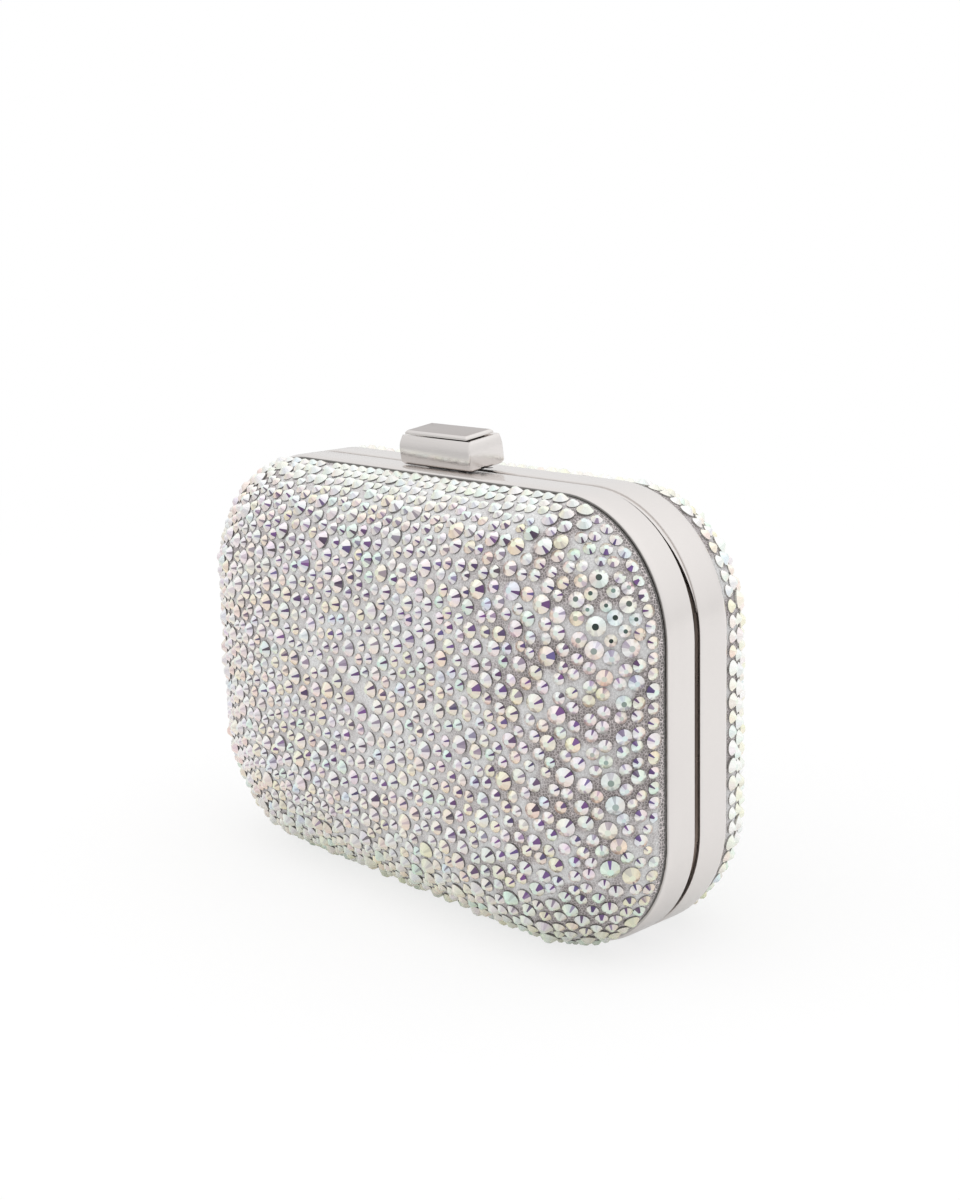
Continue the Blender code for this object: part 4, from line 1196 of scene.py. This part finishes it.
class Tinting:
    """Chooses the tint of every facet from its crystal's own colour and the way it faces, which paints
    reflections and shade into the tint.
    """

    def __init__(self, gem, crystals, colours, word, random):
        self.random = random
        self.crystals = crystals
        self.normals = np.array([face.normal for face in gem.data.polygons])
        self.corner_counts = np.array([face.loop_total for face in gem.data.polygons])
        rises, headings = self.normals[:, 2], np.arctan2(self.normals[:, 1], self.normals[:, 0])
        headings = np.mod(headings + math.pi - HEADING_CUT, 2 * math.pi)
        self.facet_order = np.lexsort((headings, rises.round(3)))
        self.is_tip = rises > SQUARE_ON
        self.is_girdle = rises < 1 - SQUARE_ON
        self.away = np.array(shaded(getattr(colours, word + "_away")))
        self.girdle = shaded(getattr(colours, word + "_girdle"))
        self.floor_facing_shade = 1 - np.array(shaded(colours.floor_facing_shade))
        self.bases = np.array([shaded(getattr(colours, name)) for name in BASE_NAMES])
        self.flashes = np.array([shaded(getattr(colours, name)) for name in FLASH_NAMES])
        self.tip = np.array(shaded(colours.tip))
        self.pale_tip = np.array(shaded(colours.pale_tip))
        self.way = np.array(direction(crystals.flash_turn, crystals.flash_rise))

    def base_tint(self, axis, facing, aside, upright):
        """Draw a crystal's colour: its own colour with painted reflection, greener towards the flash and the
        floor, warmer and lighter turned aside, paler facing up or down.
        """
        odds = BASE_ODDS.copy()
        odds[MINT] += MINT_ALOFT * axis[2] ** 2 + MINT_BELOW * max(-axis[2], 0) + MINT_FACING * facing
        odds += ASIDE_ODDS * aside
        base = self.bases[self.random.choice(len(odds), p=odds / odds.sum())]
        paleness = self.random.uniform(*BASE_PALENESS)
        base = base + (self.bases[0] - base) * (paleness + (UPRIGHT_PALENESS - paleness) * upright)
        base = base * self.random.uniform(*BASE_LEVELS) * (FACING_LEVEL + ASIDE_LEVEL * aside)
        # Painted shade and floor reflection on crystals that face the floor
        return base * (1 + min(axis[2], 0) * self.floor_facing_shade)

    def facet_tints(self, base, along, across, plainness):
        """Vary a crystal's colour from facet to facet by the side that each one is on: painted highlight,
        shade and reflection, with the coat's cast and a random level for each facet.
        """
        weights = np.stack((np.maximum(along, 0), np.maximum(-along, 0), np.maximum(across, 0),
                            np.maximum(-across, 0)), axis=1) ** 2
        away = 1 - (1 - self.away) * self.random.uniform(*AWAY_LEVELS)
        ring = np.array((TOWARDS, away, ONE_SIDE, OTHER_SIDE))
        ring = ring + (PLAIN_RING - ring) * plainness * PLAIN_RING_SHARE
        ring = ring * self.random.uniform(*RING_LEVELS, ring.shape)
        levels = np.empty((len(along), 1))
        levels[self.facet_order] = self.random.uniform(*FACET_LEVELS, levels.shape)
        return base * (weights @ ring) * levels

    def flash(self, along, angles, off_way, aside, upright):
        """Draw the dark flash, a painted reflection, of the facets that face the light's dark side, and its
        strength on each.
        """
        wide_odds = WIDE_ODDS - WIDE_ODDS_LOST_ASIDE * aside
        width = self.random.choice(FLASH_WIDTHS, p=(1 - wide_odds, wide_odds))
        half_facet = math.pi / self.crystals.facets * width
        reach = self.crystals.flash_reach
        near_reach = reach * (FLASH_FACING if off_way < self.crystals.slope else FLASH_ASIDE)
        strength = 1 - ramp_between(angles, near_reach, reach * FLASH_FADE + near_reach)
        strength = strength * (along > math.cos(half_facet)) * (1 - upright)
        mix = self.random.dirichlet(FLASH_MIX + FLASH_MIX_ASIDE * aside)
        shade = mix @ self.flashes * self.random.uniform(*FLASH_LEVELS) + FLASH_LIFT_ASIDE * aside
        faint_odds = FAINT_ODDS + FAINT_ODDS_ASIDE * aside
        odds = (1 - MIDDLE_ODDS - faint_odds, MIDDLE_ODDS, faint_odds)
        return shade, strength * self.random.choice(FLASH_STRENGTHS, p=odds)

    def tip_tint(self, base, angles):
        """Return the flat tip's tint, which is dark where it mirrors the light's dark side: a painted
        reflection.
        """
        reach = self.crystals.tip_reach
        strength = 1 - ramp_between(angles, reach * 0.5, reach)
        dark = self.tip + (self.pale_tip - self.tip) * self.random.choice(PALE_TIP_SHARES)
        plain = base * PLAIN_TIP
        return plain + (dark - plain) * strength[:, None]

    def tints(self, turned, axis):
        """Return one RGBA row for each corner of a crystal, whose faces are turned like this."""
        off_way = math.acos(min(axis @ self.way, 1))
        slope = self.crystals.slope
        facing = 1 - ramp_between(off_way, self.crystals.facing_near, self.crystals.facing_far)
        aside = ramp_between(off_way, slope, slope * ASIDE_REACH)
        upright = ramp_between(abs(axis[2]), UPRIGHT_FROM, UPRIGHT_TO)
        base = self.base_tint(axis, facing, aside, upright)
        level = unit_rows(turned - np.outer(turned @ axis, axis))
        towards = unit_rows((self.way - axis * (self.way @ axis))[None])[0]
        along, across = level @ towards, level @ np.cross(axis, towards)
        tint = self.facet_tints(base, along, across, max(facing, upright))
        angles = np.arccos(np.clip(turned @ self.way, -1, 1))
        flash, strength = self.flash(along, angles, off_way, aside, upright)
        # Painted dark reflections on the flashing facets and the flat tips
        tint = tint + (flash - tint) * strength[:, None]
        tint[self.is_tip] = self.tip_tint(base, angles[self.is_tip])
        # The girdle takes its painted shade
        tint[self.is_girdle] = self.girdle
        rows = np.repeat(np.clip(tint, 0, 1), self.corner_counts, axis=0)
        return np.concatenate((rows, np.ones((len(rows), 1))), axis=1)


def join_pieces(pieces, name):
    """Join pieces into one, with its place in its mesh."""
    take(pieces[0])
    for piece in pieces:
        piece.select_set(True)
    bpy.ops.object.join()
    joined = bpy.context.object
    joined.name = joined.data.name = name
    apply_place(joined)
    return joined


class ClutchCrystals(bpy.types.Operator):
    """Set both covers with crystals: one is cut, then copied to every seat"""
    bl_idname = "clutch.crystals"
    bl_label = "Crystals"

    def execute(self, context):
        scene = context.scene
        crystals = scene.clutch_crystals
        pillow = Pillow(scene.clutch_shell, scene.clutch_frame)
        gem = cut_crystal(crystals)
        for side, word in SIDES:
            seed = crystals.seed + side
            counts = (getattr(crystals, word + end) for end in ("_count", "_medium", "_margin"))
            seats, radii = crystal_seats(pillow, crystals, *counts, seed)
            random = np.random.default_rng(seed)
            axes = pillow.normals(seats) + random.normal(0, math.tan(crystals.tilt) / 2, seats.shape)
            axes /= np.linalg.norm(axes, axis=1)[:, None]
            spins = random.uniform(0, 2 * math.pi, len(seats))
            tinting = Tinting(gem, crystals, scene.clutch_colours, word, random)
            half_turn = Matrix.Rotation(math.pi, 3, "Z") if side == REAR else Matrix.Identity(3)
            copies = []
            for seat, radius, axis, spin in zip(seats, radii, axes, spins):
                stand = Vector(axis).to_track_quat("Z", "Y").to_matrix()
                spun = Matrix.Rotation(spin, 3, "Z")
                copy = gem.copy()
                copy.data = gem.data.copy()
                tints = copy.data.color_attributes.new("tint", "FLOAT_COLOR", "CORNER")
                turned = tinting.normals @ np.array(stand @ spun).T
                tints.data.foreach_set("color", tinting.tints(turned, axis).ravel())
                place = half_turn @ Vector(seat - axis * crystals.sink)
                copy.matrix_world = Matrix.Translation(place) @ (half_turn @ stand @ spun * radius).to_4x4()
                scene.collection.objects.link(copy)
                copies.append(copy)
            joined = join_pieces(copies, word + "_crystals")
            dress(joined, word + "_half", "crystal_mesh", FINISHES["crystal"])
        bpy.data.objects.remove(gem, do_unlink=True)
        return {"FINISHED"}


# Clasp
def stand_clasp(piece, clasp):
    """Lean a clasp piece, modelled about the pivot, and stand it at the pivot."""
    piece.location = joint_place("clasp_rock")
    piece.rotation_euler = (clasp.lean, 0, 0)
    apply_place(piece)


class ClutchClasp(bpy.types.Operator):
    """Model the bevelled clasp block, hollow from below, and its bare top plate"""
    bl_idname = "clutch.clasp"
    bl_label = "Clasp"

    def execute(self, context):
        clasp = context.scene.clutch_clasp
        self.model_block(clasp)
        self.model_plate(clasp, clasp.top + context.scene.clutch_frame.fit_gap)
        return {"FINISHED"}

    def model_block(self, clasp):
        """Model the block upright, then lean it."""
        half_x, half_y = clasp.length / 2, clasp.depth / 2
        front_y = -clasp.setback - half_y
        block = box_piece("rocking_block", (-half_x, front_y, clasp.side_low),
                          (half_x, -clasp.setback + half_y, clasp.side_high))
        end_x = half_x - clasp.end_bevel
        slope_x = half_x - clasp.high_bevel
        deepening = (clasp.depth - clasp.high_bevel - clasp.end_bevel) / (clasp.depth - 2 * clasp.high_bevel)

        def upright_outside(edge):
            low, high = (vert.co for vert in edge.verts)
            return abs(low.x) > slope_x - clasp.wall / 4 and abs(low.z - high.z) > clasp.low_bevel

        def at_height(height, least_x=0.0):
            return lambda edge: all(abs(vert.co.z - height) < clasp.soft_edge and abs(vert.co.x) >= least_x
                                    for vert in edge.verts)

        with editing(block):
            pick_faces(block, looks_along("z", 1))
            bpy.ops.mesh.inset(thickness=clasp.high_bevel, depth=clasp.top - clasp.side_high)
            bpy.ops.transform.resize(value=(end_x / slope_x, deepening, 1),
                                     center_override=(0, front_y + clasp.high_bevel, 0))
            pick_faces(block, looks_along("z", -1))
            bpy.ops.mesh.inset(thickness=clasp.low_bevel, depth=clasp.underside + clasp.side_low)
            bpy.ops.mesh.inset(thickness=clasp.wall, depth=0)
            bpy.ops.mesh.extrude_region_move(
                TRANSFORM_OT_translate={"value": (0, 0, clasp.roof + clasp.underside)})
            pick_edges(block, upright_outside)
            round_picked(clasp.upright_rounding, steps=5)
            pick_edges(block, at_height(clasp.top, end_x - clasp.soft_edge))
            round_picked(clasp.end_rounding, steps=4)
            pick_edges(block, at_height(clasp.side_high))
            round_picked(clasp.shoulder, steps=5)
        round_edges(block, clasp.soft_edge, steps=3, degrees=22)
        clean_up(block)
        smooth(block, degrees=35)
        stand_clasp(block, clasp)
        dress(block, "clasp", "polished_nickel", FINISHES["nickel"], "clasp_block")

    def model_plate(self, clasp, low):
        """Model the top plate upright from this height, lean it, and give its top the satin finish."""
        half_x, half_y = clasp.plate_length / 2, clasp.plate_depth / 2
        high = low + clasp.plate_thickness
        plate = box_piece("bare_top_plate", (-half_x, -clasp.setback - half_y, low),
                          (half_x, -clasp.setback + half_y, high - clasp.plate_bevel))
        with editing(plate):
            pick_faces(plate, looks_along("z", 1))
            bpy.ops.mesh.inset(thickness=clasp.plate_bevel, depth=clasp.plate_bevel)
        round_edges(plate, clasp.soft_edge / 3, steps=3, degrees=22)
        smooth(plate, degrees=35)
        stand_clasp(plate, clasp)
        dress(plate, "clasp", "polished_nickel", FINISHES["nickel"], "clasp_top_plate")
        plate.data.materials.append(FINISHES["plate"])
        with editing(plate):
            facing_up = Vector((0, -math.sin(clasp.lean), math.cos(clasp.lean)))
            pick_faces(plate, lambda normal: normal.dot(facing_up) > 0.999)
            plate.active_material_index = 1
            bpy.ops.object.material_slot_assign()


class ClutchHardware(bpy.types.Operator):
    """Finish the hinge, the fasteners and the clasp's inner pieces, which keep their CAD shapes"""
    bl_idname = "clutch.hardware"
    bl_label = "Hinge and fasteners"

    def execute(self, context):
        words = ("hinge", "rivet", "screw", "pin", "carrier", "bracket", "spring")
        for name, node in frame["nodes"].items():
            if any(word in name for word in words):
                node.data.materials.clear()
                node.data.materials.append(FINISHES["steel"])
        return {"FINISHED"}


# Stage
FLOOR_SEEN_FROM, FLOOR_SEEN_TO = 0.09, 0.24  # distances at which metal shows the floor less and more plainly
FLOOR_DARK_AT, FLOOR_BRIGHT_AT = -0.45, 0.30  # distances towards the rear right


def floor_finish(stage):
    """Pale floor that keeps the shadow near the clutch and turns plain white further off."""
    finish = Finish("floor_paper")
    place = finish.place()
    distance = finish.node("ShaderNodeVectorMath", {"operation": "LENGTH"}, {0: place}, output="Value")
    camera, glossy = finish.rays("Is Camera Ray", "Is Glossy Ray")
    off_clutch = finish.carry(distance, FLOOR_SEEN_FROM, FLOOR_SEEN_TO, at_start=0.35, at_end=0.95)
    level = finish.carry(finish.diagonal(place), FLOOR_DARK_AT, FLOOR_BRIGHT_AT, at_start=0.70, at_end=1.04)
    far = finish.carry(distance, stage.shade_start, stage.shade_end)
    paper = finish.noise(place, scale=240.0)
    tone = finish.blend(paper, shaded(stage.floor, level=0.985), shaded(stage.floor))
    matt = finish.node("ShaderNodeBsdfDiffuse", {}, {"Color": tone, "Roughness": 0.5})
    plain = finish.node("ShaderNodeEmission", {}, {"Color": WHITE, "Strength": camera + glossy * level})
    covered = camera * (far * (1 - stage.near_plain) + stage.near_plain) + glossy * off_clutch
    mixed = finish.node("ShaderNodeMixShader", {}, {0: covered, 1: matt, 2: plain})
    finish.node("ShaderNodeOutputMaterial", {}, {"Surface": mixed})
    return finish.owner


def light_world(stage):
    """White surround for the camera and for metal, softer for lighting."""
    world = bpy.data.worlds.new("studio")
    bpy.context.scene.world = world
    finish = Finish("studio", world)
    camera, glossy, passing = finish.rays("Is Camera Ray", "Is Glossy Ray", "Is Transmission Ray")
    around = finish.node("ShaderNodeTexCoord", output="Generated")
    height = finish.coordinate(around, "Z")
    shown = (stage.mirrored + height * (stage.mirrored_above - stage.mirrored)
             + finish.diagonal(around) * stage.mirrored_lean)
    strength = stage.ambient + camera * (1 - stage.ambient) + (glossy + passing) * (shown - stage.ambient)
    light = finish.node("ShaderNodeBackground", {}, {"Color": WHITE, "Strength": strength})
    finish.node("ShaderNodeOutputWorld", {}, {"Surface": light})


LAMP_SIZE = 1.5
KEY_LAMP_PLACE = (-0.75, -1.0, 0.95)
TOP_LAMP_PLACE = (0.15, 0.1, 1.3)
FLOOR_CELLS = 8
SENSOR_WIDTH = 36
NEAREST_SEEN = 0.01


def add_lamp(name, place, aim, power):
    """Add a square soft lamp that faces a point."""
    bpy.ops.object.light_add(type="AREA", location=place)
    lamp = bpy.context.object
    lamp.name = name
    lamp.data.shape = "SQUARE"
    lamp.data.size = LAMP_SIZE
    lamp.data.energy = power
    lamp.visible_glossy = False
    lamp.rotation_euler = (Vector(aim) - Vector(place)).to_track_quat("-Z", "Y").to_euler()


def add_camera(stage):
    """Add the camera, which looks along its heading and rise and rolls about its view."""
    heading, roll = stage.camera_turn, stage.camera_roll
    back = Vector(direction(heading, stage.camera_rise))
    right = Vector((math.cos(heading), math.sin(heading), 0))
    up = back.cross(right)
    across = right * math.cos(roll) - up * math.sin(roll)
    upward = right * math.sin(roll) + up * math.cos(roll)
    bpy.ops.object.camera_add(location=stage.camera_place)
    camera = bpy.context.object
    camera.name = "camera"
    camera.rotation_mode = "QUATERNION"
    camera.rotation_quaternion = Matrix((across, upward, back)).transposed().to_quaternion()
    camera.data.lens = stage.lens
    camera.data.sensor_width = SENSOR_WIDTH
    camera.data.clip_start = NEAREST_SEEN
    bpy.context.scene.camera = camera


class ClutchStage(bpy.types.Operator):
    """Set up the floor, the soft lamps, the white surround and the camera"""
    bl_idname = "clutch.stage"
    bl_label = "Stage"

    def execute(self, context):
        scene = context.scene
        stage = scene.clutch_stage
        bpy.ops.object.select_all(action="DESELECT")
        bpy.ops.mesh.primitive_grid_add(x_subdivisions=FLOOR_CELLS, y_subdivisions=FLOOR_CELLS,
                                        size=2 * stage.floor_half)
        floor = context.object
        floor.name = "floor"
        floor.data.materials.append(floor_finish(stage))
        light_world(stage)
        aim = (0, 0, MID_HEIGHT)
        add_lamp("key_lamp", KEY_LAMP_PLACE, aim, stage.key_power)
        add_lamp("top_lamp", TOP_LAMP_PLACE, aim, stage.top_power)
        add_camera(stage)
        scene.view_settings.view_transform = "Standard"
        return {"FINISHED"}


OPERATORS = (ClutchBands, ClutchLip, ClutchShells, ClutchCrystals, ClutchClasp, ClutchHardware, ClutchStage)


class ClutchPanel(bpy.types.Panel):
    """Lists the steps and the sizes of the clutch"""
    bl_idname = "VIEW3D_PT_clutch"
    bl_label = "Crystal box clutch"
    bl_space_type = "VIEW_3D"
    bl_region_type = "UI"
    bl_category = "Clutch"

    def draw(self, context):
        for operator in OPERATORS:
            self.layout.operator(operator.bl_idname)
        for name, group in SIZE_GROUPS.items():
            values = getattr(context.scene, name)
            box = self.layout.box()
            for key in group.__annotations__:
                box.prop(values, key)


def register():
    """Register the size groups, the operators and the panel."""
    for name, group in SIZE_GROUPS.items():
        bpy.utils.register_class(group)
        setattr(bpy.types.Scene, name, PointerProperty(type=group))
    for operator in OPERATORS:
        bpy.utils.register_class(operator)
    bpy.utils.register_class(ClutchPanel)


def unregister():
    """Take back what register added."""
    bpy.utils.unregister_class(ClutchPanel)
    for operator in reversed(OPERATORS):
        bpy.utils.unregister_class(operator)
    for name, group in reversed(SIZE_GROUPS.items()):
        delattr(bpy.types.Scene, name)
        bpy.utils.unregister_class(group)


def main():
    """Build the whole clutch and its stage."""
    register()
    make_finishes(bpy.context.scene.clutch_colours)
    bpy.ops.clutch.bands()
    bpy.ops.clutch.lip()
    bpy.ops.clutch.shells()
    bpy.ops.clutch.crystals()
    bpy.ops.clutch.clasp()
    bpy.ops.clutch.hardware()
    bpy.ops.clutch.stage()


if __name__ == "__main__":
    main()
